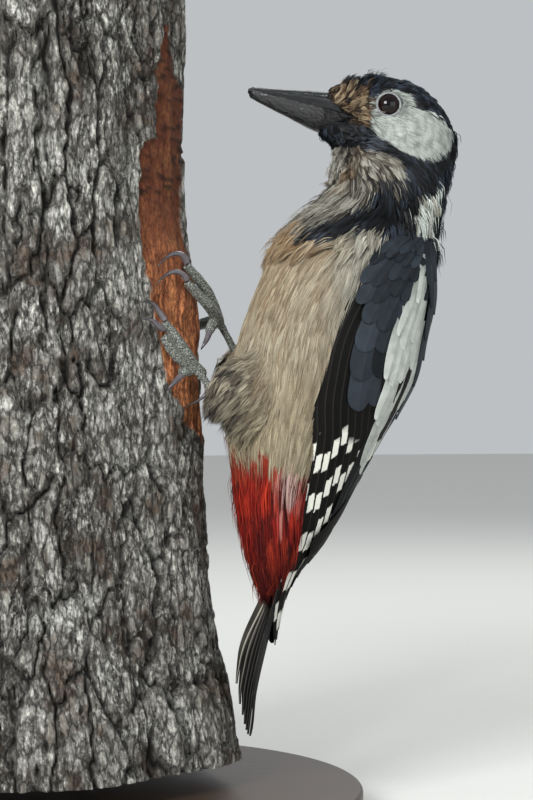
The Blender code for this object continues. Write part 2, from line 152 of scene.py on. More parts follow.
class WoodpeckerPerch(bpy.types.PropertyGroup):
    """Colours and sizes of perch and stand"""

    bark: colour_property("Bark", "Weathered grey bark", "#A19F97")
    lichen: colour_property("Lichen", "Pale bloom on the bark", "#D2D2CA")
    furrow_shade: colour_property("Furrow", "Deep cracks between the plates", "#15110E")
    inner_bark: colour_property("Inner bark", "Rust-red layer laid bare", "#DE925F")
    end_grain: colour_property("End grain", "Sawn ends of the trunk", "#B08D62")
    stand: colour_property("Stand", "Dark stained hardwood", "#2A211B")
    steel: colour_property("Rods", "Brushed stainless steel", "#B4B4B4")
    plate_width: length_property("Plate width", "Width of a bark plate", 11.0)
    furrow_depth: length_property("Furrow depth", "Depth of the cracks between plates", 2.6)
    columns: IntProperty(
        name="Columns", description="Points round the trunk", default=400, min=60, max=400
    )


# ---- the outline that the feathers lie on

# Body and neck from the side: height, belly, back and half width.
BODY = (
    (78.0, 22.5, 53.5, 11.0),
    (70.0, 20.0, 57.8, 13.8),
    (64.0, 20.0, 56.6, 15.0),
    (56.4, 10.8, 53.8, 18.2),
    (50.3, 4.4, 52.5, 21.2),
    (41.2, 0.3, 52.0, 24.0),
    (30.5, -4.2, 51.6, 25.5),
    (18.3, -8.6, 48.7, 26.0),
    (6.1, -10.6, 45.7, 25.0),
    (-6.1, -11.6, 38.8, 22.8),
    (-15.3, -11.8, 33.4, 20.4),
    (-24.4, -10.2, 28.2, 17.4),
    (-36.6, -7.8, 21.6, 14.4),
    (-45.0, -6.2, 16.4, 12.2),
    (-52.0, -5.0, 10.8, 10.2),
    (-61.0, -4.6, 6.4, 8.6),
    (-76.0, -3.4, 3.6, 6.0),
)
# The folded wing's front and back edge, in degrees round from the belly, at each height.
WING = (
    (50.0, 112.0, 128.0),
    (47.0, 101.0, 139.0),
    (43.0, 92.0, 146.0),
    (36.0, 82.0, 151.0),
    (26.0, 75.0, 155.0),
    (12.0, 72.0, 160.0),
    (0.0, 74.0, 164.0),
    (-14.0, 84.0, 169.0),
    (-32.0, 87.0, 172.0),
    (-48.0, 90.0, 170.0),
    (-62.0, 94.0, 158.0),
    (-76.0, 98.0, 150.0),
)
# The tail: height, middle, how far its sides curl towards the trunk, and half width.
TAIL = (
    (-44.0, 8.6, 1.0, 7.5),
    (-54.0, 4.6, 2.0, 10.5),
    (-64.0, 1.8, 3.6, 14.0),
    (-76.0, -1.2, 5.0, 17.0),
    (-88.0, -4.0, 4.0, 17.0),
    (-95.0, -4.9, 2.2, 15.0),
    (-102.0, -5.8, 0.6, 12.0),
)
# The bill as it shows, flared to the mouth's corners: forward, ridge, gape, keel and half width.
BILL = (
    (11.6, -1.2, -2.7, -4.6, 10.4),
    (14.0, 0.2, -2.6, -6.2, 9.6),
    (16.5, 2.0, -2.4, -7.6, 8.8),
    (19.0, 3.8, -2.2, -8.6, 7.8),
    (21.0, 4.3, -2.0, -8.9, 6.9),
    (23.0, 4.1, -2.0, -8.8, 5.9),
    (27.0, 3.2, -1.9, -8.1, 4.7),
    (32.5, 2.0, -1.9, -6.8, 3.5),
    (38.7, 0.7, -1.8, -5.5, 2.6),
    (43.0, -0.1, -1.8, -4.5, 2.0),
    (45.4, -0.5, -1.8, -3.9, 1.7),
    (46.9, -0.7, -1.8, -3.4, 1.5),
)
HEAD_AT = Vector((41.0, 0.0, 85.4))
HEAD_TURN = Matrix.Rotation(math.radians(-12.0), 3, "Z") @ Matrix.Rotation(math.radians(15.0), 3, "Y")
HEAD_AXES = np.array([HEAD_TURN @ Vector(way) for way in ((-1, 0, 0), (0, 0, 1), (0, -1, 0))])
EYE_AT = (4.0, 3.4, 9.2)
EYE_RADIUS = 4.0
EYE_OPENING = 3.15
LID_RADIUS = 3.5
LID_THICKNESS = 0.36
# Ellipsoids of the thighs: middle and radii.
THIGHS = {
    "left": ((-9.0, -12.6, 2.0), (11.2, 8.6, 10.6)),
    "right": ((-4.0, 13.0, 8.0), (8.5, 7.5, 10.0)),
}


def curve_through(rows):
    """A function that gives the rows' values, on a smooth curve, at any key or array of keys."""
    table = np.array(sorted(rows), float)
    keys, values = table[:, 0], table[:, 1:]
    order = np.arange(len(keys))
    ahead, behind = np.minimum(order + 1, order[-1]), np.maximum(order - 1, 0)
    slopes = (values[ahead] - values[behind]) / (keys[ahead] - keys[behind])[:, None]

    def at(key):
        key = np.clip(np.asarray(key, float), keys[0], keys[-1])
        first = np.clip(np.searchsorted(keys, key, side="right") - 1, 0, order[-1] - 1)
        span = (keys[first + 1] - keys[first])[..., None]
        share = (key - keys[first])[..., None] / span
        square, cube = share**2, share**3
        return (
            (2 * cube - 3 * square + 1) * values[first]
            + (cube - 2 * square + share) * slopes[first] * span
            + (3 * square - 2 * cube) * values[first + 1]
            + (cube - square) * slopes[first + 1] * span
        )

    return at


body_row = curve_through(BODY)
wing_row = curve_through(WING)
tail_row = curve_through(TAIL)
bill_row = curve_through(BILL)


def body_surface(height, degrees, side, grow=0.0):
    """Points of the outline, so many degrees round from the belly towards the back."""
    belly, back, half_width = np.moveaxis(body_row(height), -1, 0)
    angle = np.radians(degrees)
    depth = (back - belly) / 2 + grow
    x = (belly + back) / 2 - depth * np.cos(angle)
    y = side * (half_width + grow) * np.sin(angle)
    return np.stack(np.broadcast_arrays(x, y, height), axis=-1)


def round_body(points):
    """Degrees round from the belly of points near the outline."""
    belly, back, half_width = np.moveaxis(body_row(points[:, 2]), -1, 0)
    along = ((belly + back) / 2 - points[:, 0]) / ((back - belly) / 2)
    return np.degrees(np.arctan2(np.abs(points[:, 1]) / half_width, along))


def in_head(points):
    """Forward, up and left of the head's middle."""
    return (points - np.array(HEAD_AT)) @ HEAD_AXES.T


def thigh_reaches(points, grow=0.0):
    """For each thigh, how far points are from its middle as a share of its radii."""
    for middle, radii in THIGHS.values():
        yield np.linalg.norm((points - np.array(middle)) / (np.array(radii) + grow), axis=1)


# ---- small tools


def smooth_step(value, low, high):
    share = np.clip((value - low) / (high - low), 0.0, 1.0)
    return share * share * (3 - 2 * share)


def inside(outline, across, up):
    """Which points lie inside a closed outline."""
    found = np.zeros(len(across), bool)
    previous = outline[-1]
    for corner in outline:
        (x0, y0), (x1, y1) = previous, corner
        crosses = (y0 > up) != (y1 > up)
        with np.errstate(divide="ignore", invalid="ignore"):
            found ^= crosses & (across < (x1 - x0) * (up - y0) / ((y1 - y0) or 1.0) + x0)
        previous = corner
    return found


def noise_at(points, scale, seed=0.0):
    """Smooth noise of about -1 to 1 at points, with features so many millimetres across."""
    shift = Vector((seed, -seed, seed * 0.5))
    return np.array([noise.noise(Vector(point) / scale + shift) for point in points])


def unit(vectors):
    return vectors / np.maximum(np.linalg.norm(vectors, axis=-1, keepdims=True), 1e-9)


def nearest_of(points, places):
    """For each place the nearest of the points: the point, its number and how far it is."""
    index = KDTree(len(points))
    for number, point in enumerate(points):
        index.insert(Vector(point), number)
    index.balance()
    return [index.find(Vector(place)) for place in places]


def deselect():
    if bpy.context.mode != "OBJECT":
        bpy.ops.object.mode_set(mode="OBJECT")
    bpy.ops.object.select_all(action="DESELECT")


def choose(obj):
    deselect()
    obj.select_set(True)
    bpy.context.view_layer.objects.active = obj
    return obj


def apply_all(obj):
    """Applies every modifier of an object."""
    choose(obj)
    for modifier in list(obj.modifiers):
        bpy.ops.object.modifier_apply(modifier=modifier.name)
    return obj


def add_modifier(obj, kind, **settings):
    made = obj.modifiers.new(kind.lower(), kind)
    for name, value in settings.items():
        setattr(made, name, value)
    return made


def new_object(name, mesh):
    obj = bpy.data.objects.new(name, mesh)
    bpy.context.scene.collection.objects.link(obj)
    return obj


def merged_copy(name, *nodes):
    """One object with the merged meshes of CAD nodes."""
    shape = bmesh.new()
    for node in nodes:
        shape.from_mesh(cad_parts[node].data)
    bmesh.ops.remove_doubles(shape, verts=shape.verts, dist=0.002 * MM)
    mesh = bpy.data.meshes.new(name)
    shape.to_mesh(mesh)
    shape.free()
    return new_object(name, mesh)


def points_of(mesh, what="co"):
    """A mesh's points in millimetres from HOME, or its normals."""
    found = np.empty(len(mesh.vertices) * 3, np.float32)
    if what == "co":
        mesh.vertices.foreach_get("co", found)
        return found.reshape(-1, 3).astype(float) / MM - HOME
    mesh.vertex_normals.foreach_get("vector", found)
    return found.reshape(-1, 3).astype(float)


def move_points(mesh, points):
    mesh.vertices.foreach_set("co", ((points + HOME) * MM).astype(np.float32).ravel())
    mesh.update()


def set_attribute(mesh, name, values):
    """A number, vector or colour at each point."""
    values = np.asarray(values, np.float32)
    if values.ndim == 1:
        mesh.attributes.new(name, "FLOAT", "POINT").data.foreach_set("value", values)
        return
    if name == "vane":
        mesh.attributes.new(name, "FLOAT_VECTOR", "POINT").data.foreach_set("vector", values.ravel())
        return
    colours = np.ones((len(values), 4), np.float32)
    colours[:, :3] = np.clip(values, 0.0, 1.0)
    mesh.attributes.new(name, "FLOAT_COLOR", "POINT").data.foreach_set("color", colours.ravel())


def mesh_from(name, points, faces):
    """A smooth-shaded mesh from points in millimetres and lists of faces that each have as many corners."""
    mesh = bpy.data.meshes.new(name)
    mesh.vertices.add(len(points))
    mesh.vertices.foreach_set("co", ((points + HOME) * MM).astype(np.float32).ravel())
    corners = np.concatenate([group.ravel() for group in faces]).astype(np.int32)
    sizes = np.concatenate([np.full(len(group), group.shape[1]) for group in faces])
    mesh.loops.add(len(corners))
    mesh.loops.foreach_set("vertex_index", corners)
    mesh.polygons.add(len(sizes))
    starts = np.concatenate([[0], np.cumsum(sizes)[:-1]]).astype(np.int32)
    mesh.polygons.foreach_set("loop_start", starts)
    mesh.update(calc_edges=True)
    mesh.shade_smooth()
    return mesh, corners


def finish_piece(obj, material, slot, *nodes):
    """Gives a piece its finish, hangs it under the root and hides the CAD nodes it stands for."""
    obj.data.materials.clear()
    obj.data.materials.append(material)
    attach(obj, "root")
    if nodes:
        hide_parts(*nodes)
    return obj


# ---- materials


# Inputs by number: a Map Range node reads from 1 to 2 and gives 3 to 4, and a Mix node's share is 0 and
# its colours are 6 and 7. Texture scales are to the metre.


def set_inputs(tree, node, inputs):
    """Sets or links a node's inputs by name or number. Another node stands for its first output."""
    for key, value in inputs.items():
        socket = node.inputs[key]
        if isinstance(value, bpy.types.Node):
            value = value.outputs[0]
        if isinstance(value, bpy.types.NodeSocket):
            tree.links.new(value, socket)
        elif socket.type == "RGBA":
            socket.default_value = (*value, 1.0)
        else:
            socket.default_value = value


def add_node(tree, kind, inputs=None, **settings):
    """A shader node of a kind, with its settings and inputs."""
    made = tree.nodes.new(f"ShaderNode{kind}")
    for name, value in settings.items():
        setattr(made, name, value)
    set_inputs(tree, made, inputs or {})
    return made


def new_material(name):
    """A material, its node tree and its Principled shader."""
    made = bpy.data.materials.new(name)
    made.use_nodes = True
    return made, made.node_tree, made.node_tree.nodes["Principled BSDF"]


def contour_feather():
    """Down and contour feathers: matt keratin barbs, so the eye sees fine strands and a soft edge light."""
    made, tree, shader = new_material("Contour feathers")
    paint = add_node(tree, "Attribute", attribute_name="plumage")
    gloss = add_node(tree, "Attribute", attribute_name="gloss")
    place = add_node(tree, "TexCoord").outputs["Object"]
    # Barbs are 0.05 mm apart, drawn at 0.4 mm so that they show.
    barbs = add_node(tree, "TexNoise", {"Vector": place, "Scale": 2500.0, "Detail": 2.0})
    light = add_node(tree, "MapRange", {"Value": barbs, 1: 0.3, 2: 0.7, 3: 0.88, 4: 1.1})
    shade = add_node(tree, "VectorMath", {0: paint.outputs["Color"], "Scale": light}, operation="SCALE")
    rough = add_node(tree, "MapRange", {"Value": gloss.outputs["Fac"], 3: 0.85, 4: 0.42})
    bump = add_node(tree, "Bump", {"Height": barbs, "Strength": 0.25, "Distance": 0.0002})
    set_inputs(
        tree, shader, {"Base Color": shade, "Roughness": rough, "Normal": bump, "Specular IOR Level": 0.22}
    )
    return made


def flight_feather(spot):
    """Vanes of stiff keratin: barbs laid side by side, satin along them, with a hard pale shaft."""
    made, tree, shader = new_material("Flight feather vanes")
    paint = add_node(tree, "Attribute", attribute_name="plumage")
    vane = add_node(tree, "Attribute", attribute_name="vane")
    marks = add_node(tree, "Attribute", attribute_name="spotted")
    shaft = add_node(tree, "Attribute", attribute_name="shaft")
    place = add_node(tree, "TexCoord").outputs["Object"]
    parts = add_node(tree, "SeparateXYZ", {0: vane.outputs["Vector"]})
    # Fraying is 1 mm across, and the clouds of wear below 3 mm.
    ragged = add_node(tree, "TexNoise", {"Vector": place, "Scale": 900.0, "Detail": 3.0})
    centred = add_node(tree, "Math", {0: ragged, 1: 0.5}, operation="SUBTRACT")
    # A spot is a slanting bar across the outer vane, its ends frayed by a few barbs.
    slant = add_node(tree, "Math", {0: parts, 1: -0.045, 2: parts.outputs[1]}, operation="MULTIPLY_ADD")
    frayed = add_node(tree, "Math", {0: centred, 1: 0.16, 2: slant}, operation="MULTIPLY_ADD")
    wrapped = add_node(tree, "Math", {0: frayed}, operation="FRACT")
    from_middle = add_node(tree, "Math", {0: wrapped, 1: 0.5}, operation="SUBTRACT")
    distance = add_node(tree, "Math", {0: from_middle}, operation="ABSOLUTE")
    along = add_node(tree, "MapRange", {"Value": distance, 1: 0.2, 2: 0.24, 3: 1.0, 4: 0.0})
    edge = add_node(tree, "Math", {0: centred, 1: 0.5, 2: parts}, operation="MULTIPLY_ADD")
    outer = add_node(tree, "MapRange", {"Value": edge, 1: 2.15, 2: 2.3, 3: 1.0, 4: 0.0})
    inner = add_node(tree, "MapRange", {"Value": edge, 1: 0.3, 2: 0.42})
    both = add_node(tree, "Math", {0: along, 1: outer}, operation="MULTIPLY")
    clear = add_node(tree, "Math", {0: both, 1: inner}, operation="MULTIPLY")
    spots = add_node(tree, "Math", {0: clear, 1: marks.outputs["Fac"]}, operation="MULTIPLY")
    # Barbs run slantwise from the shaft, drawn 0.5 mm apart so that they show.
    lean = add_node(tree, "Math", {0: parts, 1: 0.9, 2: parts.outputs[2]}, operation="MULTIPLY_ADD")
    count = add_node(tree, "Math", {0: lean, 1: math.tau / 0.5}, operation="MULTIPLY")
    barbs = add_node(tree, "Math", {0: count}, operation="SINE")
    cloudy = add_node(tree, "TexNoise", {"Vector": place, "Scale": 320.0, "Detail": 4.0})
    light = add_node(tree, "MapRange", {"Value": cloudy, 1: 0.3, 2: 0.7, 3: 0.82, 4: 1.16})
    ribbed = add_node(tree, "Math", {0: barbs, 1: 0.07, 2: light}, operation="MULTIPLY_ADD")
    shade = add_node(tree, "VectorMath", {0: paint.outputs["Color"], "Scale": ribbed}, operation="SCALE")
    marked = add_node(tree, "Mix", {0: spots, 6: shade, 7: spot}, data_type="RGBA")
    pale = add_node(tree, "Math", {0: shaft.outputs["Fac"], 1: 0.3}, operation="MULTIPLY", use_clamp=True)
    lined = add_node(tree, "Mix", {0: pale, 6: marked.outputs[2], 7: linear("#B9B4A8")}, data_type="RGBA")
    gloss = add_node(tree, "Attribute", attribute_name="gloss")
    rough = add_node(tree, "MapRange", {"Value": gloss.outputs["Fac"], 3: 0.7, 4: 0.36})
    bump = add_node(tree, "Bump", {"Height": barbs, "Strength": 0.15, "Distance": 0.0001})
    set_inputs(tree, shader, {
        "Base Color": lined.outputs[2], "Roughness": rough, "Normal": bump, "Specular IOR Level": 0.1
    })
    return made


def bill_horn(colour):
    """Slate-black horn, rubbed smooth by use: fine streaks run to the tip and it takes a soft highlight."""
    made, tree, shader = new_material("Worn bill horn")
    place = add_node(tree, "TexCoord").outputs["Object"]
    # Streaks are 0.7 mm apart and 11 mm long, and worn patches 4 mm across.
    tilt = (0.0, math.radians(15.0), math.radians(-12.0))
    turned = add_node(
        tree, "Mapping", {"Vector": place, "Rotation": tilt, "Scale": (90.0, 1500.0, 1500.0)}
    )
    streaks = add_node(tree, "TexNoise", {"Vector": turned, "Scale": 1.0, "Detail": 4.0})
    worn = add_node(tree, "TexNoise", {"Vector": place, "Scale": 260.0, "Detail": 5.0})
    pale = add_node(tree, "MapRange", {"Value": worn, 1: 0.42, 2: 0.75, 3: 0.0, 4: 0.6})
    tone = add_node(tree, "Mix", {0: pale, 6: colour, 7: linear("#23282B")}, data_type="RGBA")
    rough = add_node(tree, "MapRange", {"Value": streaks, 1: 0.3, 2: 0.7, 3: 0.07, 4: 0.26})
    bump = add_node(tree, "Bump", {"Height": streaks, "Strength": 0.6, "Distance": 0.0005})
    set_inputs(tree, shader, {
        "Base Color": tone.outputs[2], "Roughness": rough, "Normal": bump, "IOR": 1.54,
        "Coat Weight": 0.3, "Coat Roughness": 0.12,
    })
    return made


def wet_eye(colour):
    """A wet cornea over a dark iris: nearly black, with one hard bright highlight."""
    made, tree, shader = new_material("Wet dark eye")
    iris = add_node(tree, "Attribute", attribute_name="iris")
    place = add_node(tree, "TexCoord").outputs["Object"]
    # The iris's fibres are 0.6 mm apart.
    fibres = add_node(tree, "TexNoise", {"Vector": place, "Scale": 1800.0})
    ring = add_node(tree, "MapRange", {"Value": iris.outputs["Fac"], 1: 0.42, 2: 0.5})
    rim = add_node(tree, "MapRange", {"Value": iris.outputs["Fac"], 1: 0.68, 2: 0.8, 3: 1.0, 4: 0.15})
    amount = add_node(tree, "Math", {0: ring, 1: rim}, operation="MULTIPLY")
    mottled = add_node(tree, "Math", {0: amount, 1: fibres}, operation="MULTIPLY")
    strong = add_node(tree, "Math", {0: mottled, 1: 1.6}, operation="MULTIPLY", use_clamp=True)
    tone = add_node(tree, "Mix", {0: strong, 6: linear("#070506"), 7: colour}, data_type="RGBA")
    set_inputs(tree, shader, {"Base Color": tone.outputs[2], "Roughness": 0.05, "IOR": 1.33})
    return made


def bare_skin(name, colour, gap, scale, depth):
    """Dry horny skin cut into small scales: matt pale plates with dark lines between them. scale is how
    many plates there are to the metre, and depth how deep the lines are in millimetres."""
    made, tree, shader = new_material(name)
    place = add_node(tree, "TexCoord").outputs["Object"]
    cells = add_node(tree, "TexVoronoi", {"Vector": place, "Scale": scale}, feature="DISTANCE_TO_EDGE")
    fine = add_node(tree, "TexNoise", {"Vector": place, "Scale": 2200.0, "Detail": 3.0})
    plates = add_node(tree, "MapRange", {"Value": cells.outputs["Distance"], 1: 0.02, 2: 0.2})
    grain = add_node(tree, "MapRange", {"Value": fine, 1: 0.25, 2: 0.75, 3: 0.65, 4: 1.3})
    tone = add_node(tree, "Mix", {0: plates, 6: gap, 7: colour}, data_type="RGBA")
    shade = add_node(tree, "VectorMath", {0: tone.outputs[2], "Scale": grain}, operation="SCALE")
    bump = add_node(tree, "Bump", {"Height": plates, "Strength": 0.7, "Distance": depth * MM})
    set_inputs(tree, shader, {"Base Color": shade, "Normal": bump, "Roughness": 0.5})
    return made


def claw_horn(colour):
    """Smooth keratin: grey at the root, dark and sharply glossy towards the point."""
    made, tree, shader = new_material("Claw horn")
    tip = add_node(tree, "Attribute", attribute_name="tip")
    place = add_node(tree, "TexCoord").outputs["Object"]
    # Grey clouds are 1.4 mm across.
    cloudy = add_node(tree, "TexNoise", {"Vector": place, "Scale": 700.0, "Detail": 4.0})
    mixed = add_node(tree, "Math", {0: cloudy, 1: 0.5, 2: tip.outputs["Fac"]}, operation="MULTIPLY_ADD")
    dark = add_node(tree, "MapRange", {"Value": mixed, 1: 0.45, 2: 1.2})
    tone = add_node(tree, "Mix", {0: dark, 6: colour, 7: linear("#1D1A1C")}, data_type="RGBA")
    set_inputs(tree, shader, {"Base Color": tone.outputs[2], "Roughness": 0.24, "IOR": 1.54})
    return made


def pine_bark(settings):
    """Old conifer bark: grey weathered flakes with pale lichen, cracks painted black as painted shade, and
    rust-red inner bark.
    """
    made, tree, shader = new_material("Plated conifer bark")
    furrow_shade = add_node(tree, "Attribute", attribute_name="furrow_shade")
    bare = add_node(tree, "Attribute", attribute_name="inner_bark")
    flake = add_node(tree, "Attribute", attribute_name="flake")
    sawn = add_node(tree, "Attribute", attribute_name="sawn")
    rings = add_node(tree, "Attribute", attribute_name="rings")
    place = add_node(tree, "TexCoord").outputs["Object"]
    # Mottling is 4.5 mm across and grain 0.9 mm, both 2.5 times as tall, and lichen blooms 17 mm.
    upright = {"Vector": place, "Scale": (1.0, 1.0, 0.4)}
    flakes = add_node(tree, "Mapping", upright)
    mottle = add_node(
        tree, "TexNoise", {"Vector": flakes, "Scale": 220.0, "Detail": 8.0, "Roughness": 0.75}
    )
    grain = add_node(tree, "TexNoise", {"Vector": flakes, "Scale": 1100.0, "Detail": 6.0, "Roughness": 0.8})
    bloom = add_node(tree, "TexNoise", {"Vector": place, "Scale": 60.0, "Detail": 6.0, "Roughness": 0.7})
    # Scales of bark 3 mm wide and 7.5 mm tall, split by hairline cracks.
    pushed = add_node(tree, "VectorMath", {0: mottle.outputs["Color"], "Scale": 0.006}, operation="SCALE")
    moved = add_node(tree, "VectorMath", {0: flakes, 1: pushed}, operation="ADD")
    scales = add_node(tree, "TexVoronoi", {"Vector": moved, "Scale": 330.0}, feature="DISTANCE_TO_EDGE")
    hairline = add_node(
        tree, "MapRange", {"Value": scales.outputs["Distance"], 1: 0.0, 2: 0.11, 3: 1.0, 4: 0.0}
    )
    tone = add_node(tree, "Math", {0: mottle, 1: 1.7, 2: flake.outputs["Fac"]}, operation="MULTIPLY_ADD")
    light = add_node(tree, "MapRange", {"Value": tone, 1: 0.95, 2: 1.75})
    plate = add_node(tree, "Mix", {0: light, 6: linear("#4A4641"), 7: settings.bark}, data_type="RGBA")
    pale = add_node(tree, "Math", {0: bloom, 1: grain}, operation="MULTIPLY")
    specks = add_node(tree, "MapRange", {"Value": pale, 1: 0.24, 2: 0.34})
    lichen = add_node(tree, "Mix", {0: specks, 6: plate.outputs[2], 7: settings.lichen}, data_type="RGBA")
    warm = add_node(tree, "MapRange", {"Value": bloom, 1: 0.46, 2: 0.36, 3: 0.0, 4: 0.7})
    earthy = add_node(tree, "Mix", {0: warm, 6: lichen.outputs[2], 7: linear("#6B5546")}, data_type="RGBA")
    # Torn fibres are 1.4 mm wide and 12 mm long.
    fibre_space = add_node(tree, "Mapping", {"Vector": place, "Scale": (1.0, 1.0, 0.12)})
    fibres = add_node(tree, "TexNoise", {"Vector": fibre_space, "Scale": 700.0, "Detail": 5.0})
    sunlit = add_node(tree, "MapRange", {"Value": fibres, 1: 0.35, 2: 0.65})
    chips = add_node(tree, "MapRange", {"Value": grain, 1: 0.42, 2: 0.54})
    torn = add_node(tree, "Math", {0: sunlit, 1: chips}, operation="MULTIPLY")
    # Higher up the bare wood is painted darker and its pale fibres fade, as painted shade; low down it is
    # painted lighter, as painted light.
    apart = add_node(tree, "SeparateXYZ", {0: place})
    lit_low_down = add_node(tree, "MapRange", {"Value": apart.outputs["Z"], 1: 0.145, 2: 0.2, 3: 1.0, 4: 0.1})
    shaded_high_up = add_node(tree, "MapRange", {"Value": apart.outputs["Z"], 1: 0.145, 2: 0.2, 3: 1.12, 4: 0.75})
    fibres_lit_low = add_node(tree, "Math", {0: torn, 1: lit_low_down}, operation="MULTIPLY")
    lit = add_node(tree, "Math", {0: fibres_lit_low, 1: flake.outputs["Fac"]}, operation="MULTIPLY")
    rust = add_node(tree, "Mix", {0: lit, 6: linear("#774530"), 7: settings.inner_bark}, data_type="RGBA")
    yellow = add_node(tree, "MapRange", {"Value": mottle, 1: 0.52, 2: 0.62, 3: 0.0, 4: 0.55})
    wood = add_node(tree, "Mix", {0: yellow, 6: rust.outputs[2], 7: linear("#A9754A")}, data_type="RGBA")
    shaded_wood = add_node(tree, "VectorMath", {0: wood.outputs[2], "Scale": shaded_high_up}, operation="SCALE")
    surface = add_node(
        tree, "Mix", {0: bare.outputs["Fac"], 6: earthy.outputs[2], 7: shaded_wood}, data_type="RGBA"
    )
    # Hairline cracks and furrows are painted near black, as painted shade in them.
    kept = add_node(tree, "Math", {0: 1.0, 1: bare.outputs["Fac"]}, operation="SUBTRACT")
    fine = add_node(tree, "Math", {0: hairline, 1: kept}, operation="MULTIPLY")
    thin = add_node(tree, "Math", {0: fine, 1: 0.8}, operation="MULTIPLY")
    dark = add_node(tree, "Math", {0: thin, 1: furrow_shade.outputs["Fac"]}, operation="MAXIMUM")
    cracked = add_node(tree, "Mix", {0: dark, 6: surface.outputs[2], 7: settings.furrow_shade}, data_type="RGBA")
    # Year rings are 2.2 mm apart.
    year = add_node(tree, "Math", {0: rings.outputs["Fac"], 1: math.tau / 2.2}, operation="MULTIPLY")
    late = add_node(tree, "Math", {0: year}, operation="SINE")
    band = add_node(tree, "MapRange", {"Value": late, 1: -0.2, 2: 1.0})
    end = add_node(tree, "Mix", {0: band, 6: settings.end_grain, 7: linear("#7A5634")}, data_type="RGBA")
    final = add_node(
        tree, "Mix", {0: sawn.outputs["Fac"], 6: cracked.outputs[2], 7: end.outputs[2]}, data_type="RGBA"
    )
    shades = add_node(tree, "MapRange", {"Value": grain, 1: 0.3, 2: 0.7, 3: 0.45, 4: 1.55})
    shade = add_node(tree, "VectorMath", {0: final.outputs[2], "Scale": shades}, operation="SCALE")
    sunk = add_node(tree, "Math", {0: fine, 1: -0.5, 2: grain}, operation="MULTIPLY_ADD")
    relief = add_node(tree, "Math", {0: sunk, 1: mottle}, operation="ADD")
    bump = add_node(tree, "Bump", {"Height": relief, "Strength": 1.0, "Distance": 0.0014})
    set_inputs(
        tree, shader, {"Base Color": shade, "Normal": bump, "Roughness": 0.9, "Specular IOR Level": 0.2}
    )
    return made


def stained_wood(colour):
    """Turned hardwood under dark stain and satin varnish: long straight grain just shows."""
    made, tree, shader = new_material("Stained turned hardwood")
    place = add_node(tree, "TexCoord").outputs["Object"]
    # Grain lines are 1 mm apart and 17 mm long.
    stretched = add_node(tree, "Mapping", {"Vector": place, "Scale": (60.0, 1000.0, 1000.0)})
    grain = add_node(tree, "TexNoise", {"Vector": stretched, "Scale": 1.0, "Detail": 6.0})
    dark = add_node(tree, "MapRange", {"Value": grain, 1: 0.35, 2: 0.65})
    tone = add_node(tree, "Mix", {0: dark, 6: colour, 7: linear("#4A3A2D")}, data_type="RGBA")
    rough = add_node(tree, "MapRange", {"Value": grain, 1: 0.3, 2: 0.7, 3: 0.38, 4: 0.5})
    bump = add_node(tree, "Bump", {"Height": grain, "Strength": 0.15, "Distance": 0.0002})
    set_inputs(tree, shader, {"Base Color": tone.outputs[2], "Roughness": rough, "Normal": bump})
    return made


def brushed_steel(colour):
    """Stainless rod drawn through a die: bright, with fine scratches along it."""
    made, tree, shader = new_material("Brushed stainless steel")
    place = add_node(tree, "TexCoord").outputs["Object"]
    # Scratches are drawn 0.25 mm apart so that they show, and 17 mm long.
    drawn = add_node(tree, "Mapping", {"Vector": place, "Scale": (4000.0, 4000.0, 60.0)})
    scratches = add_node(tree, "TexNoise", {"Vector": drawn, "Scale": 1.0, "Detail": 2.0})
    rough = add_node(tree, "MapRange", {"Value": scratches, 3: 0.2, 4: 0.42})
    tone = add_node(tree, "Mix", {0: scratches, 6: colour, 7: linear("#8E8E90")}, data_type="RGBA")
    set_inputs(tree, shader, {"Base Color": tone.outputs[2], "Roughness": rough, "Metallic": 1.0})
    return made


def studio_paper():
    """Pale matt paper for floor and backdrop."""
    made, tree, shader = new_material("Pale studio paper")
    place = add_node(tree, "TexCoord").outputs["Object"]
    # Flecks are 3 mm across.
    fibres = add_node(tree, "TexNoise", {"Vector": place, "Scale": 300.0, "Detail": 3.0})
    tone = add_node(tree, "Mix", {0: fibres, 6: linear("#D8D8D4"), 7: linear("#DEDEDA")}, data_type="RGBA")
    set_inputs(tree, shader, {"Base Color": tone.outputs[2], "Roughness": 0.9})
    return made


# ---- markings

# White of cheek and eye arc, in the head's forward and up.
FACE_WHITE = (
    (8.3, -2.3), (7.0, -5.6), (4.0, -7.2), (-2.3, -9.4), (-8.5, -9.8), (-14.8, -7.6), (-17.5, -3.8),
    (-16.1, 0.8), (-12.1, 3.9), (-3.9, 4.4), (-3.4, 6.5), (-2.5, 8.2), (1.8, 8.9), (6.9, 6.8), (9.2, 3.1),
)
# White patch on the side of the neck, in x and height.
NECK_WHITE = (
    (43.9, 61.3), (49.2, 63.2), (51.5, 65.8), (51.9, 62.0), (50.0, 55.9), (48.8, 48.5), (47.7, 45.9),
    (44.3, 46.6), (42.0, 52.1), (41.6, 55.7),
)
# The black band's edges across throat and chest, as x and height: its top, its bottom, and the lower edge
# of the moustache above the throat.
BAND_TOP = ((8.7, 48.1), (11.9, 50.1), (16.0, 51.9), (23.1, 54.9), (29.8, 59.2), (36.6, 62.6), (40.3, 67.5))
BAND_BOTTOM = (
    (8.2, 47.5), (13.8, 48.0), (16.5, 46.5), (20.9, 48.7), (28.0, 50.1), (33.5, 47.0), (40.0, 42.0),
)
MOUSTACHE = ((19.0, 78.5), (27.9, 76.0), (34.7, 74.3), (39.3, 71.5), (40.3, 67.5))
# Where the flank's fringe ends over the red vent.
VENT_TOP = (
    (-13.5, -8.5), (-10.0, -14.5), (-6.0, -18.5), (0.0, -21.5), (5.0, -23.5), (9.5, -24.0), (12.0, -16.0),
)
NOWHERE = -1000.0


def edge_at(edge, x, before, after):
    """The height of an edge at x, or a fixed height before its first point and after its last."""
    table = np.array(edge)
    return np.interp(x, table[:, 0], table[:, 1], left=before, right=after)


def mix(first, second, share):
    """Between two colours or directions, one for all points or one each, by each point's share."""
    first = np.asarray(first)
    return first + (np.asarray(second) - first) * np.asarray(share)[:, None]


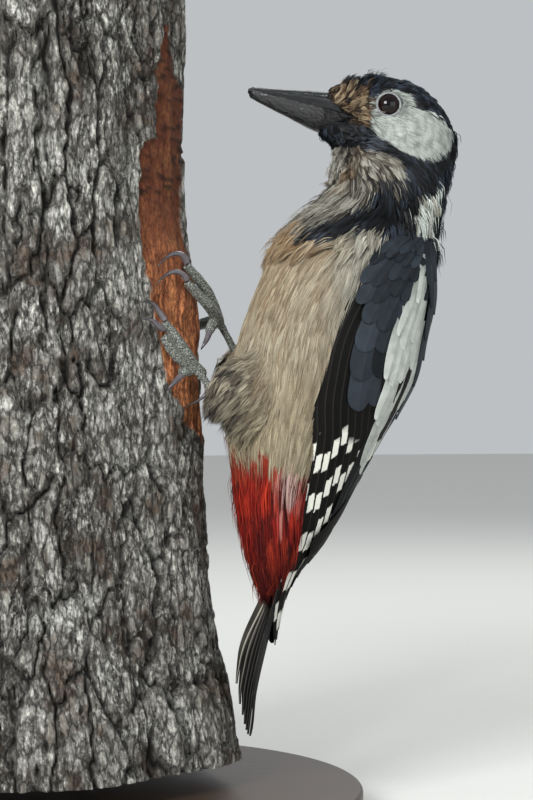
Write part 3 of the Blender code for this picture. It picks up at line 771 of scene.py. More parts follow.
# Where feathers end against the bill, as forward and up: under the tan bristles, and above the chin.
BROW_EDGE = ((12.2, -2.2), (15.1, -1.4), (18.6, -0.7), (21.0, 0.2), (22.4, 1.8), (23.4, 3.8))
CHIN_EDGE = ((12.2, -3.0), (13.4, -4.2), (17.4, -5.4), (21.0, -7.2), (23.4, -8.6))
# A thin dark line runs back from the eye between the white arc and the cheek.
NOTCH = ((-2.6, 4.3), (-7.0, 5.6), (-12.0, 4.2), (-7.0, 4.2))


def bill_shows(forward, up):
    """Where the bill lies bare beside the mouth's corner."""
    return (forward > 12.2) & (up < edge_at(BROW_EDGE, forward, 9.0, 9.0)) & (
        up > edge_at(CHIN_EDGE, forward, -9.0, -12.0)
    )


def paint_plumage(points, colours, streak=None):
    """Colour and gloss of the plumage at points: the same markings serve the skin and its coat. streak is
    how light each feather is beside its neighbours, from -1 to 1."""
    x, z = points[:, 0], points[:, 2]
    forward, up, _ = in_head(points).T
    degrees = round_body(points)
    count = len(points)
    streak = np.zeros(count) if streak is None else streak
    slow = noise_at(points, 9.0, 3.0)
    # Lighter locks of the black are painted blue-black, as a painted sheen.
    paint = mix(colours.black, colours.black_sheen, smooth_step(streak + 0.3 * slow, -0.1, 1.0))
    gloss = np.full(count, 0.85)
    head = z > 66.0 + 0.1 * (x - 36.0)

    buff = mix(colours.buff, colours.pale_buff, smooth_step(streak, -0.7, 0.9))
    front = smooth_step(-degrees, -62.0, -18.0) * smooth_step(z, 0.0, 45.0)
    beside = smooth_step(degrees, 45.0, 88.0)
    stained = smooth_step(slow, -0.1, 0.5) * smooth_step(z, -5.0, 38.0)
    buff = mix(buff, colours.stain, np.clip(front * 0.36 + stained * 0.33 - streak * 0.16, 0.0, 0.75))
    low = smooth_step(-z, -14.0, 14.0)
    buff = mix(buff, colours.grey, low * (0.75 - 0.3 * streak))
    hem = smooth_step(-z, 4.0, 22.0)
    buff = mix(buff, colours.pale_buff, hem * smooth_step(streak, 0.0, 0.8) * 0.6)

    chest = ~head & (degrees < 118.0) & (z < edge_at(BAND_BOTTOM, x, -NOWHERE, NOWHERE))
    chest |= ~head & (x < 8.4)
    pale_edge = smooth_step(degrees, 56.0, 84.0) * smooth_step(z, 12.0, 34.0)
    # Towards the wing the buff is painted up to 22 % darker, as painted shade.
    buff = buff * (1 - 0.22 * beside)[:, None]
    paint[chest] = mix(buff, colours.cream, pale_edge * (0.75 + 0.2 * streak))[chest]
    throat = (z > edge_at(BAND_TOP, x, 50.0, -NOWHERE)) & (z < edge_at(MOUSTACHE, x, 79.5, NOWHERE))
    throat &= x < 40.5
    bib = mix(colours.thigh, colours.cream, smooth_step(streak, -0.35, 0.7) * 0.9)
    bib = mix(bib, colours.stain, smooth_step(slow, 0.0, 0.5) * 0.6 * smooth_step(-x, -36.0, -24.0))
    # Darker locks of the throat are painted towards black, as painted shade in the gaps between clumps.
    bib = mix(bib, colours.black, smooth_step(-streak, 0.1, 0.8) * 0.8)
    paint[throat] = bib[throat]
    pale = chest | throat

    collar = inside(NECK_WHITE, x, z) & (degrees > 60.0)
    ruff = mix(colours.cream, colours.white, smooth_step(streak, -0.5, 0.5))
    paint[collar] = (ruff * 1.15)[collar]
    dashes = (degrees > 60.0) & (x > 37.5) & (x < 42.5) & (z > 49.0) & (z < 57.0) & (streak > 0.35)
    paint[dashes] = (ruff * 0.8)[dashes]
    pale |= collar

    face = inside(FACE_WHITE, forward, up) & (z > 60.0) & ~inside(NOTCH, forward, up)
    cheek = mix(colours.white, colours.thigh, smooth_step(-streak, -0.1, 0.7) * 0.55)
    # The cheek's white is painted at 0.72 of its colour, as painted shade.
    paint[face] = (cheek * 0.72)[face]
    pale |= face
    brow = head & (forward > 10.5) & (up > -1.5) & (up < 7.6) & (forward - 0.35 * up < 21.0)
    tan = mix(colours.tan, colours.black, smooth_step(-streak - 0.5 * slow, -0.15, 0.4) * 0.95)
    tan = mix(tan, colours.grey, smooth_step(streak, 0.3, 0.9) * 0.7)
    paint[brow] = tan[brow]
    lore = head & (forward > 8.5) & (forward < 14.0) & (up > -4.5) & (up < 3.5) & ~face
    lores = mix(colours.tan, colours.grey, smooth_step(streak, -0.2, 0.8) * 0.6)
    lores = mix(lores, colours.black, smooth_step(-streak, -0.2, 0.7) * 0.8)
    paint[lore] = lores[lore]
    pale |= brow | lore

    vent = ~head & (z < edge_at(VENT_TOP, x, -9.0, -12.0)) & (degrees < 150.0)
    # Deep red is painted shade lower down and on darker locks, and orange-red a painted highlight on
    # lighter locks.
    red = mix(colours.red, colours.deep_red, smooth_step(-z, 26.0, 60.0))
    red = mix(red, colours.deep_red, smooth_step(-streak, -0.1, 0.45))
    red = mix(red, linear("#A83A1C"), smooth_step(streak, 0.2, 0.9) * 0.4)
    upper = 1 - smooth_step(-z, 20.0, 30.0)
    red = mix(red, linear("#5E3320"), upper * smooth_step(streak, -0.4, 0.5) * 0.75)
    # The pale pink patch is a painted highlight on the red.
    bloom = smooth_step(-np.hypot((x - 4.0) / 4.4, (z + 27.0) / 6.5), -1.1, -0.3)
    red = mix(red, linear("#A9938C"), bloom * smooth_step(streak + slow, -0.5, 0.4) * 0.9)
    paint[vent] = red[vent]
    paint[vent & (z < -64.0)] = np.array(colours.black)
    pale |= vent

    for reach in thigh_reaches(points, 0.4):
        share = (1 - smooth_step(reach, 1.05, 1.35)) * (1 - smooth_step(x, -13.0, -5.0)) * ~vent
        fluff = mix(colours.thigh, colours.pale_buff, smooth_step(streak, 0.0, 0.7) * 0.85)
        fluff = mix(fluff, colours.black, smooth_step(-streak, 0.0, 0.7) * 0.7)
        paint = mix(paint, fluff, share)
    gloss[pale] = 0.15
    return paint, gloss


# ---- the skin

FLESH = ("head", "neck", "trunk", "vent", "thigh_left", "thigh_right")
# The flesh is swollen by this much first, so that its pieces join across the gaps between them.
WELD = 0.3
SKIN_VOXEL = 0.8


def coat_depth(points, settings):
    """How far the skin lies under the outline: less on the face and least round the eye."""
    forward, up, left = in_head(points).T
    share = smooth_step(points[:, 2], 62.0, 74.0)
    depth = (settings.coat_depth * (1 - share) + settings.face_depth * share) / MM
    from_eye = np.hypot(forward - EYE_AT[0], up - EYE_AT[1])
    near_eye = (1 - smooth_step(from_eye, 4.2, 8.0)) * (np.abs(left) > 6.0)
    return depth * (1 - 0.8 * near_eye)


def tuck_in(points):
    """Draws the skin in under the bill's horn where that lies bare and in to the tail's root at its end,
    and up at the thighs' lower edge."""
    forward, up, left = in_head(points).T
    _, _, _, half_width = np.moveaxis(bill_row(forward), -1, 0)
    share = np.maximum(bill_shows(forward, up), smooth_step(forward, 20.5, 22.0)) * (points[:, 2] > 60.0)
    limit = half_width * np.sqrt(np.clip(1 - ((up + 2.3) / 7.0) ** 2, 0.02, 1.0)) * 0.9 - 0.7
    shift = np.minimum(np.maximum(limit, 0.3) - np.abs(left), 0.0) * np.sign(left) * share
    points = points + shift[:, None] * HEAD_AXES[2]
    belly, back, _ = np.moveaxis(body_row(points[:, 2]), -1, 0)
    lower = smooth_step(-points[:, 0], 5.0, 13.0) * np.exp(-(((points[:, 2] + 6.5) / 6.0) ** 2))
    points[:, 2] = points[:, 2] + 3.0 * lower
    slim = 1 - 0.6 * smooth_step(-points[:, 2], 48.0, 60.0)
    points[:, 0] = (belly + back) / 2 + (points[:, 0] - (belly + back) / 2) * slim
    points[:, 1] = points[:, 1] * slim
    return points


class WOODPECKER_OT_skin(bpy.types.Operator):
    """Make the one skin that lies under the coat of feathers"""

    bl_idname = "woodpecker.skin"
    bl_label = "Skin"

    def execute(self, context):
        settings = context.scene.woodpecker_plumage
        skin = merged_copy("skin", *FLESH)
        mesh = skin.data
        move_points(mesh, points_of(mesh) + points_of(mesh, "normal") * WELD)
        add_modifier(skin, "REMESH", mode="VOXEL", voxel_size=SKIN_VOXEL * MM)
        add_modifier(skin, "SMOOTH", iterations=5, factor=0.5)
        apply_all(skin)
        mesh = skin.data
        points = points_of(mesh)
        depth = coat_depth(points, settings) + WELD
        points = tuck_in(points - points_of(mesh, "normal") * depth[:, None])
        move_points(mesh, points)
        mesh.shade_smooth()
        choose(skin)
        bpy.ops.object.mode_set(mode="EDIT")
        bpy.ops.mesh.select_all(action="SELECT")
        bpy.ops.uv.smart_project(angle_limit=math.radians(66.0), island_margin=0.001)
        bpy.ops.object.mode_set(mode="OBJECT")
        mesh.uv_layers.active.name = "OFBake"
        paint, gloss = paint_plumage(points, settings)
        # The skin shows only in the coat's gaps, so its markings are painted at 0.45, as painted shade
        # under the feathers.
        set_attribute(mesh, "plumage", paint * 0.45)
        set_attribute(mesh, "gloss", gloss * 0.3)
        finish_piece(skin, contour_feather(), "plumage_body", *FLESH)
        return {"FINISHED"}


# ---- the coat

# The lie of the feathers, seen from the left side: x, height, and degrees that they lean from straight down
# towards the bill's side.
LIE = (
    (25.0, 96.0, -150.0), (32.0, 98.5, -112.0), (40.5, 99.0, -84.0), (49.6, 94.5, -53.0),
    (55.8, 86.6, -27.0), (57.3, 76.9, -4.0), (26.5, 89.3, -80.0), (36.4, 83.5, -76.0), (45.0, 81.2, -70.0),
    (52.5, 78.2, -45.0), (25.7, 82.3, -69.0), (34.3, 75.8, -60.0), (45.5, 71.3, -37.0), (21.2, 80.9, -37.0),
    (22.0, 72.0, -6.0), (30.0, 68.0, -32.0), (33.0, 62.0, 8.0), (24.0, 60.0, 22.0), (38.0, 61.0, 2.0),
    (50.0, 62.0, -5.0), (27.0, 54.0, 38.0), (18.0, 50.0, 55.0), (8.0, 50.0, 62.0), (10.0, 42.0, 40.0),
    (22.0, 40.0, 18.0), (3.0, 30.0, 22.0), (46.0, 52.0, 0.0), (12.0, 15.0, 10.0), (-4.0, 12.0, 5.0),
    (15.0, -2.0, 22.0), (0.0, -15.0, 8.0), (2.0, -35.0, 0.0), (6.0, -20.0, 10.0), (52.0, 40.0, 0.0),
    (48.0, 10.0, 8.0), (30.0, -20.0, 15.0),
)
# For each area of the coat: CAD node, record slot, length and width of a feather's strand, strands to a
# square millimetre, spacing of the feathers that strands gather into, how strongly they gather, and how
# far tips stand up, as a share of the coat's depth.
AREAS = {
    "face": ("head", "plumage_head", 3.0, 0.2, 13.0, 1.4, 0.65, 1.7),
    "cheeks": ("head", "plumage_head", 4.4, 0.15, 19.0, 1.7, 0.05, 0.7),
    "crown": ("head", "plumage_head", 4.2, 0.3, 11.0, 1.8, 0.45, 1.1),
    "jaw": ("head", "plumage_head", 5.2, 0.28, 10.0, 2.2, 0.5, 1.25),
    "throat": ("neck", "plumage_neck", 9.5, 0.2, 9.5, 2.6, 0.5, 1.7),
    "neck": ("neck", "plumage_neck", 8.0, 0.28, 7.0, 2.8, 0.7, 1.6),
    "breast": ("trunk", "plumage_body", 11.0, 0.19, 8.5, 3.6, 0.06, 1.0),
    "belly": ("trunk", "plumage_body", 12.5, 0.19, 8.5, 4.0, 0.06, 1.1),
    "back": ("trunk", "plumage_body", 7.5, 0.6, 3.2, 3.6, 0.6, 1.2),
    "vent": ("vent", "plumage_vent", 13.0, 0.2, 8.5, 3.0, 0.4, 1.5),
    "thighs": ("thigh_left", "plumage_thigh", 6.0, 0.2, 9.5, 2.6, 0.5, 1.3),
}
MOST_STRANDS = 19500
# Barbs catch light as the feather's whole face does: how far a strand's sides are shaded sideways.
SIDE_LIGHT = 0.8
LOCK_WIDTH = 1.0
# A strand has three points at its root, three half way and one at its tip. These are where each lies in the
# the strand's patch of the skin's unwrap, and how light it is: roots are painted darker, as painted shade
# deep in the coat, and the tip a little lighter, as painted light.
STRAND_PLACES = np.array(
    [(-0.5, -0.5), (0.5, -0.5), (0, -0.5), (-0.5, 0), (0.5, 0), (0, 0), (0, 0.5)]
)
STRAND_PAINTED_SHADE = np.array([0.65, 0.65, 0.65, 0.96, 0.96, 0.96, 1.03])
STRAND_POINTS = len(STRAND_PAINTED_SHADE)
BAKE_PATCH = 0.003
SEED = 17


def area_of(points):
    """The index in AREAS of each point's area, or -1 where no coat grows."""
    x, z = points[:, 0], points[:, 2]
    forward, up, left = in_head(points).T
    degrees = round_body(points)
    names = list(AREAS)
    found = np.full(len(points), -1)

    def fill(name, where):
        found[where & (found < 0)] = names.index(name)

    head = z > 69.5 + 0.1 * (x - 36.0)
    from_eye = np.hypot(forward - EYE_AT[0], up - EYE_AT[1])
    bare = head & (from_eye < 3.75) & (np.abs(left) > 6.0)
    bare |= head & (bill_shows(forward, up) | (forward > 22.6))
    bare |= head & (forward > 15.5) & (np.abs(left) < 4.0) & (up < 3.2) & (up > -7.4)
    bare |= (z < -51.5) | (z > 105.0)
    for reach in thigh_reaches(points):
        fill("thighs", (reach < 1.02) & (x < -3.0))
    front, back = np.moveaxis(wing_row(z), -1, 0)
    covered = (degrees > front + 5.0) & (degrees < back - 5.0) & (z < 47.0)
    fill("face", head & (forward > 8.5))
    fill("cheeks", head & inside(FACE_WHITE, forward, up) & (np.abs(left) > 3.0))
    fill("crown", head & (up > 3.5))
    fill("jaw", head)
    fill("throat", (z > 52.0) & (x < 36.0) & (degrees < 100.0))
    fill("neck", z > 46.0)
    fill("vent", (z < -18.0) & (degrees < np.where(z < -40.0, 110.0, 140.0)))
    fill("back", (degrees > 112.0) & (z > -38.0))
    bare |= (found < 0) & (z < -38.0)
    fill("breast", z > 16.0)
    fill("belly", z > -100.0)
    found[bare | covered] = -1
    return found


def lie_at(points, normals):
    """The direction in which feathers lie at points of the skin."""
    guides = np.array(LIE)
    angle = np.radians(guides[:, 2])
    ways = np.stack([-np.sin(angle), np.zeros(len(angle)), -np.cos(angle)], axis=1)
    gaps = (points[:, None, 0] - guides[:, 0]) ** 2 + (points[:, None, 2] - guides[:, 1]) ** 2
    weights = 1.0 / (gaps + 6.0) ** 2
    way = (weights / weights.sum(axis=1, keepdims=True)) @ ways
    for reach in thigh_reaches(points):
        share = (1 - smooth_step(reach, 1.0, 1.25)) * (1 - smooth_step(points[:, 0], -8.0, 2.0))
        way = mix(way, (-0.7, 0.0, -0.7), share)
    way = unit(way)
    outward = np.sum(way * normals, axis=1, keepdims=True)
    return unit(way - normals * outward * (1 - smooth_step(outward, 0.5, 0.8)))


def skin_triangles(mesh):
    """Corners, normals and bake places of the skin's triangles."""
    mesh.calc_loop_triangles()
    count = len(mesh.loop_triangles)
    corners, loops = np.empty(count * 3, np.int32), np.empty(count * 3, np.int32)
    mesh.loop_triangles.foreach_get("vertices", corners)
    mesh.loop_triangles.foreach_get("loops", loops)
    places = np.empty(len(mesh.loops) * 2, np.float32)
    mesh.uv_layers["OFBake"].data.foreach_get("uv", places)
    return corners.reshape(-1, 3), places.reshape(-1, 2)[loops.reshape(-1, 3)]


def scatter(rng, points, triangles, places, keep, density):
    """Random roots on triangles, with their place on the skin's unwrap."""
    first, second, third = (points[triangles[keep, k]] for k in range(3))
    areas = np.linalg.norm(np.cross(second - first, third - first), axis=1) / 2
    count = min(MOST_STRANDS, int(areas.sum() * density))
    chosen = rng.choice(len(areas), count, p=areas / areas.sum())
    a, b = rng.random((2, count))
    flip = a + b > 1
    a[flip], b[flip] = 1 - a[flip], 1 - b[flip]
    shares = np.stack([1 - a - b, a, b], axis=1)[:, :, None]
    corners = np.stack([first[chosen], second[chosen], third[chosen]], axis=1)
    return (corners * shares).sum(axis=1), (places[keep][chosen] * shares).sum(axis=1)


def nearest_on(tree, points):
    """The nearest points of the skin and the normals there."""
    found = [tree.find_nearest(Vector(point)) for point in points]
    return np.array([hit[0] for hit in found]), np.array([hit[1] for hit in found])


def comb(tree, roots, lengths, steps=3):
    """Paths over the skin along the lie of the feathers: points and normals at the root and at each step.
    Where the skin falls away, a path goes straight on."""
    place, normal = nearest_on(tree, roots)
    places, normals = [place], [normal]
    for _ in range(steps):
        step = lengths / steps
        target = place + lie_at(place, normal) * step[:, None]
        hit, facing = nearest_on(tree, target)
        free = (np.linalg.norm(hit - target, axis=1) > 0.45 * step)[:, None]
        place, normal = np.where(free, target, hit), np.where(free, normal, facing)
        places.append(place)
        normals.append(normal)
    return np.stack(places, axis=1), np.stack(normals, axis=1)


def along_path(places, share):
    """A point on each path, share of the way along."""
    steps = places.shape[1] - 1
    place = min(share * steps, steps - 1e-6)
    first = int(place)
    return places[:, first] + (places[:, first + 1] - places[:, first]) * (place - first)


def strand_faces(count):
    """Corner numbers of the faces of strands with two rings of three points and a tip."""
    sides = [(k, 3 + k, 3 + (k + 1) % 3, (k + 1) % 3) for k in range(3)]
    ends = [(3 + k, 6, 3 + (k + 1) % 3) for k in range(3)] + [(0, 1, 2)]
    shift = np.arange(count)[:, None, None] * STRAND_POINTS
    quads = (np.array(sides)[None] + shift).reshape(-1, 4)
    tris = (np.array(ends)[None] + shift).reshape(-1, 3)
    return [quads, tris]


def gather(rng, tree, roots, length, density, spacing, pull):
    """Paths of strands that gather towards their feathers' tips, their normals and each one's feather."""
    strands_each = max(1, round(spacing * spacing * density))
    heads = roots[rng.permutation(len(roots))[: max(8, len(roots) // strands_each)]]
    owner = np.array([number for _, number, _ in nearest_of(heads, roots)])
    head_lengths = length * (1 + (0.03 + 0.2 * pull) * rng.standard_normal(len(heads))).clip(0.6, 1.4)
    head_paths, _ = comb(tree, heads, head_lengths)
    loose = 0.16 - 0.1 * pull
    lengths = head_lengths[owner] * (1 + loose * rng.standard_normal(len(roots))).clip(0.5, 1.5)
    paths, normals = comb(tree, roots, lengths)
    shares = np.linspace(0.0, 1.0, paths.shape[1])
    shift = (head_paths[owner] - paths) * (pull * shares**1.5)[None, :, None]
    return paths + shift, normals, owner


def strands(name, rng, tree, roots, places, settings):
    """One area's coat as a joined mesh of tapering solid strands."""
    node, slot, length, width, density, spacing, pull, loft = AREAS[name]
    paths, normals, owner = gather(rng, tree, roots, length, density, spacing, pull)
    count, feathers = len(roots), owner.max() + 1
    # Barbs cling together in locks a millimetre wide, which share their tone, height and slope.
    near_tips = along_path(paths, 0.8) * (1.0, 1.0, 0.35)
    locks = [noise_at(near_tips, LOCK_WIDTH, seed) for seed in (1.0, 5.0)]
    forward = in_head(paths[:, 0])[:, 0] * (paths[:, 0, 2] > 66.0)
    uneven = 1 + 0.5 * pull * rng.standard_normal(feathers)[owner]
    raised = coat_depth(paths[:, 0], settings) * uneven.clip(0.4, 1.8) * loft
    raised = raised * rng.uniform(0.6, 1.1, count) * (1 - 0.5 * smooth_step(forward, 17.0, 21.0))
    raised = raised * (1 + 0.5 * locks[0]).clip(0.4, 1.6)
    if loft > 1.2:
        raised = raised * np.where(rng.uniform(size=count) < 0.07, 1.7, 1.0)
    wide = width * (1 + 0.25 * rng.standard_normal(count)).clip(0.4, 1.8)
    points, facing = np.empty((count, STRAND_POINTS, 3)), np.empty((count, STRAND_POINTS, 3))
    for ring, (share, scale) in enumerate(((0.0, 0.8), (0.5, 1.0))):
        place, normal = along_path(paths, share), unit(along_path(normals, share))
        ahead = unit(along_path(paths, share + 0.3) - along_path(paths, max(0.0, share - 0.2)))
        aside = unit(np.cross(ahead, normal))
        across = aside * (wide * scale / 2)[:, None]
        height = raised * 0.8 * (ring == 1) - 0.25 * (ring == 0)
        middle = place + normal * height[:, None]
        points[:, ring * 3] = middle - across
        points[:, ring * 3 + 1] = middle + across
        points[:, ring * 3 + 2] = middle + normal * (wide * scale * 0.6)[:, None]
        leaning = normal + aside * (0.9 * locks[1])[:, None]
        facing[:, ring * 3] = unit(leaning - aside * SIDE_LIGHT)
        facing[:, ring * 3 + 1] = unit(leaning + aside * SIDE_LIGHT)
        facing[:, ring * 3 + 2] = unit(leaning)
    facing[:, 6] = unit(along_path(normals, 1.0))
    points[:, 6] = along_path(paths, 1.0) + facing[:, 6] * (raised * 0.95)[:, None]
    mesh, corners = mesh_from(f"coat_{name}", points.reshape(-1, 3), strand_faces(count))
    mesh.normals_split_custom_set_from_vertices(facing.reshape(-1, 3))

    # Markings are looked up a little way along, and a whole feather is early or late, so edges are ragged.
    early = 0.7 if length > 9.0 else 0.45
    late = np.clip(early + 0.16 * rng.standard_normal(feathers), 0.05, 0.95)[owner]
    look_at = paths[:, 0] + (along_path(paths, 1.0) - paths[:, 0]) * late[:, None]
    look_at = look_at + rng.normal(0.0, 0.22, (count, 3))
    shared = 0.75 * pull * rng.standard_normal(feathers)[owner]
    streak = shared + 1.2 * locks[0] + 0.3 * rng.standard_normal(count)
    paint, gloss = paint_plumage(look_at, settings, streak)
    # Locks that stand higher are painted lighter and lower ones darker: partly their own tone, partly
    # painted light and shade.
    tone = 1 + 0.08 * pull * rng.standard_normal(feathers)[owner] + 0.08 * rng.standard_normal(count)
    tone = tone + (0.3 + 0.5 * pull) * locks[0]
    paint = paint * tone.clip(0.45, 1.5)[:, None]
    # Where strands gather into feathers, their roots are painted darker, as painted shade deep in the coat.
    fade = STRAND_PAINTED_SHADE if pull > 0.1 else np.ones(STRAND_POINTS)
    set_attribute(mesh, "plumage", (paint[:, None, :] * fade[None, :, None]).reshape(-1, 3))
    set_attribute(mesh, "gloss", np.repeat(gloss, STRAND_POINTS))
    bake = (places[:, None, :] + STRAND_PLACES[None] * BAKE_PATCH).clip(0.0, 1.0).reshape(-1, 2)
    layer = mesh.uv_layers.new(name="OFBake")
    layer.data.foreach_set("uv", bake[corners].astype(np.float32).ravel())
    coat = new_object(f"coat_{name}", mesh)
    nodes = ("thigh_left", "thigh_right") if name == "thighs" else (node,)
    return finish_piece(coat, bpy.data.materials["Contour feathers"], slot, *nodes)


class WOODPECKER_OT_coat(bpy.types.Operator):
    """Grow the coat of small solid feathers over the skin"""

    bl_idname = "woodpecker.coat"
    bl_label = "Coat"

    def execute(self, context):
        settings = context.scene.woodpecker_plumage
        mesh = bpy.data.objects["skin"].data
        points = points_of(mesh)
        triangles, places = skin_triangles(mesh)
        tree = BVHTree.FromPolygons([Vector(point) for point in points], triangles.tolist())
        area = area_of(points[triangles].mean(axis=1))
        for index, name in enumerate(AREAS):
            rng = np.random.default_rng(SEED + index)
            _, _, _, _, density, *_ = AREAS[name]
            wanted = density * settings.fullness
            roots, bakes = scatter(rng, points, triangles, places, area == index, wanted)
            strands(name, rng, tree, roots, bakes, settings)
        return {"FINISHED"}


# ---- vanes: flight feathers, coverts, scapulars and tail


def vane_shell(top, bottom, first):
    """Points and faces of a closed thin shell between two grids."""
    rows, columns = top.shape[:2]
    count = rows * columns
    grid = np.arange(count).reshape(rows, columns)
    up = np.stack([grid[:-1, :-1], grid[:-1, 1:], grid[1:, 1:], grid[1:, :-1]], axis=-1).reshape(-1, 4)
    down = up[:, ::-1] + count
    ring = np.concatenate([grid[0, :-1], grid[:-1, -1], grid[-1, :0:-1], grid[:0:-1, 0]])
    after = np.roll(ring, -1)
    rim = np.stack([after, ring, ring + count, after + count], axis=-1)
    faces = np.concatenate([up, down, rim])
    points = np.concatenate([top.reshape(-1, 3), bottom.reshape(-1, 3)])
    a, b, c, d = (points[faces[:, k]] for k in range(4))
    volume = np.sum(a * np.cross(b, c)) + np.sum(a * np.cross(c, d))
    if volume < 0:
        faces = faces[:, ::-1]
    return points, faces + first


class Vanes:
    """Collects vanes into one joined mesh."""

    def __init__(self, settings):
        self.thickness = settings.vane_thickness / MM
        self.bar_spacing = settings.bar_spacing / MM
        self.points, self.faces, self.count = [], [], 0
        self.values = {name: [] for name in ("plumage", "vane", "spotted", "shaft", "gloss")}

    def add(self, top, bottom, colour, across, bars, along, spotted, shaft, under=None, gloss=0.4):
        """Two grids of points, and for each point of a grid its place on the vane. shaft is how pale the
        shaft is on each face."""
        points, faces = vane_shell(top, bottom, self.count)
        self.points.append(points)
        self.faces.append(faces)
        self.count += len(points)
        shape = top.shape[:2]
        place = np.stack(np.broadcast_arrays(across, bars, along), axis=-1)
        place = np.broadcast_to(place, (*shape, 3)).reshape(-1, 3)
        self.values["vane"] += [place, place]
        for paint in (colour, colour if under is None else under):
            self.values["plumage"].append(np.broadcast_to(paint, (*shape, 3)).reshape(-1, 3))
        for name, value in {"spotted": spotted, "shaft": shaft, "gloss": gloss}.items():
            self.values[name].append(np.broadcast_to(value, (2, *shape)).reshape(-1))

    def piece(self, name):
        mesh, _ = mesh_from(name, np.concatenate(self.points), [np.concatenate(self.faces)])
        for value, parts in self.values.items():
            set_attribute(mesh, value, np.concatenate(parts))
        mesh.set_sharp_from_angle(angle=math.radians(60.0))
        return new_object(name, mesh)


# Where a vane's points lie across it, from its front edge: closest beside the shaft, which stands nearer
# the front of a flight feather and midway over a soft one.
SHAFT_AT = 0.27
SOFT_SHAFT_AT = 0.5
ACROSS = np.array([0.0, 0.1, 0.22, SHAFT_AT, 0.32, 0.45, 0.62, 0.8, 1.0])
SOFT_ACROSS = np.array([0.0, 0.12, 0.28, 0.46, SOFT_SHAFT_AT, 0.54, 0.72, 0.88, 1.0])
# A shaft stands up from its vane, and SHAFT_STEP is the distance from one feather's shaft to the next.
SHAFT_WIDTH = 0.22
SHAFT_HEIGHT = 0.08
SHAFT_STEP = 2.45
# The height of one row of white bars.
FIRST_BAR = -19.5
# How far round the body gaps are measured, in degrees: for the wing and for the shoulder patch.
WING_SIDE = 105.0
SHOULDER_SIDE = 130.0


def degree_size(height, degrees):
    """How many millimetres one degree round the body is, at a height and so many degrees round."""
    steps = body_surface(height, degrees + 1.0, 1.0) - body_surface(height, degrees, 1.0)
    return np.linalg.norm(steps, axis=-1)


def behind_front(height, millimetres):
    """The degrees round at which a place so far behind the wing's front edge lies."""
    return wing_row(height)[..., 0] + millimetres / degree_size(height, WING_SIDE)


def varied(rng, colour, spread, low, high):
    """A colour made lighter or darker at random, within limits."""
    return np.array(colour) * np.clip(1 + spread * rng.standard_normal(), low, high)


def wing_vane(vanes, side, root, tip, lead, width, lift, colour, spotted=0.0, tip_length=6.0, tip_at=0.35,
              thin=1.0, camber=0.1, soft=False, rows=26, shaft_tone=0.3, rise=0.0, gloss=0.4):
    """A vane on the body's outline. lead gives its front edge in degrees at a height, lift its height off
    the outline at root and tip, tip_at where its point lies across it, thin its share of a full vane's
    thickness, spotted the height below which it has white bars, and rise how far they are moved up."""
    columns = SOFT_ACROSS if soft else ACROSS
    steps = np.linspace(0.0, 1.0, rows)
    heights = root + (tip - root) * (1 - (1 - steps) ** 1.6)
    left = np.abs(heights - tip)
    narrow = np.sqrt(np.clip(1 - (1 - np.clip(left / tip_length, 0.0, 1.0)) ** 2, 0.0, 1.0))
    narrow = np.maximum(narrow, 0.04)
    offset = width * (tip_at * (1 - narrow)[:, None] + columns[None, :] * narrow[:, None])
    edge = lead(heights)
    degrees = edge[:, None] + offset / degree_size(heights, edge)[:, None]
    height = (lift[0] + (lift[1] - lift[0]) * steps)[:, None]
    bowed = height - camber * (2 * columns - 1)[None, :] ** 2
    middle = SOFT_SHAFT_AT if soft else SHAFT_AT
    shaft = np.exp(-(((columns - middle) * width / SHAFT_WIDTH) ** 2))
    ridge = bowed + SHAFT_HEIGHT * shaft[None, :]
    level = np.broadcast_to(heights[:, None], degrees.shape)
    top = body_surface(level, degrees, side, ridge)
    bottom = body_surface(level, degrees, side, bowed - vanes.thickness * thin)
    bars = (level - FIRST_BAR - rise) / vanes.bar_spacing + 0.5
    marks = smooth_step(-level, -spotted, 0.5 - spotted) if spotted else 0.0
    vanes.add(
        top, bottom, colour, offset, bars, level - tip, marks, shaft[None, :] * shaft_tone, gloss=gloss
    )


# Flight feathers from the front: tip height, and how far its rows of white spots are moved up.
QUILLS = (
    (-74.5, 3.0),
    (-73.0, 0.0),
    (-70.0, 0.3),
    (-66.0, 4.6),
    (-61.0, 8.2),
    (-57.0, 6.0),
    (-54.0, 9.0),
    (-51.5, 13.5),
    (-49.5, 6.0),
    (-48.0, 9.0),
    (-46.5, 3.0),
    (-45.0, 6.0),
)


def flight_feathers(vanes, side, rng, colours):
    """Primaries and secondaries: each shows a narrow strip in front of the next, which lies on it."""
    for number, (tip, rise) in enumerate(QUILLS):
        spread = number * SHAFT_STEP

        def lead(height, spread=spread):
            narrow = 1.0 - 0.3 * smooth_step(-height, 34.0, 72.0)
            return behind_front(height, spread * narrow)

        tone = varied(rng, colours.quill_brown, 0.25, 0.5, 1.6)
        lift = -1.5 + 0.19 * number
        primary = number < 6
        wing_vane(
            vanes, side, 40.0 if primary else 14.0, tip, lead, 8.5, (lift - 0.1, lift + 0.2), tone,
            spotted=-7.0 if number in (0, 4) else -12.0, rise=rise, shaft_tone=0.08,
            tip_length=9.0 if primary else 5.0, tip_at=0.4, rows=44, gloss=0.25,
        )


# Rows of coverts: tip height, length, width, how many, first gap from the wing's front in millimetres,
# lift, and how far each row's tips rise towards the back.
COVERTS = (
    (-3.0, 30.0, 8.0, 4, 11.5, 0.2, 4.0),
    (6.0, 26.0, 9.0, 4, 10.5, 0.35, 2.0),
    (13.5, 20.0, 8.6, 4, 10.0, 0.55, 2.0),
    (22.0, 16.0, 8.0, 4, 8.5, 0.75, 2.0),
    (29.0, 12.0, 6.4, 6, 4.0, 0.85, 2.0),
    (34.5, 10.0, 5.6, 6, 1.5, 0.92, 2.0),
    (39.0, 9.0, 5.0, 6, 0.0, 0.97, 1.5),
    (43.0, 8.0, 4.6, 5, 0.0, 1.0, 1.0),
)
# Tertials: tip height, gap from the wing's front in degrees.
TERTIALS = ((-42.0, 46.0), (-50.0, 53.0), (-45.0, 61.0))


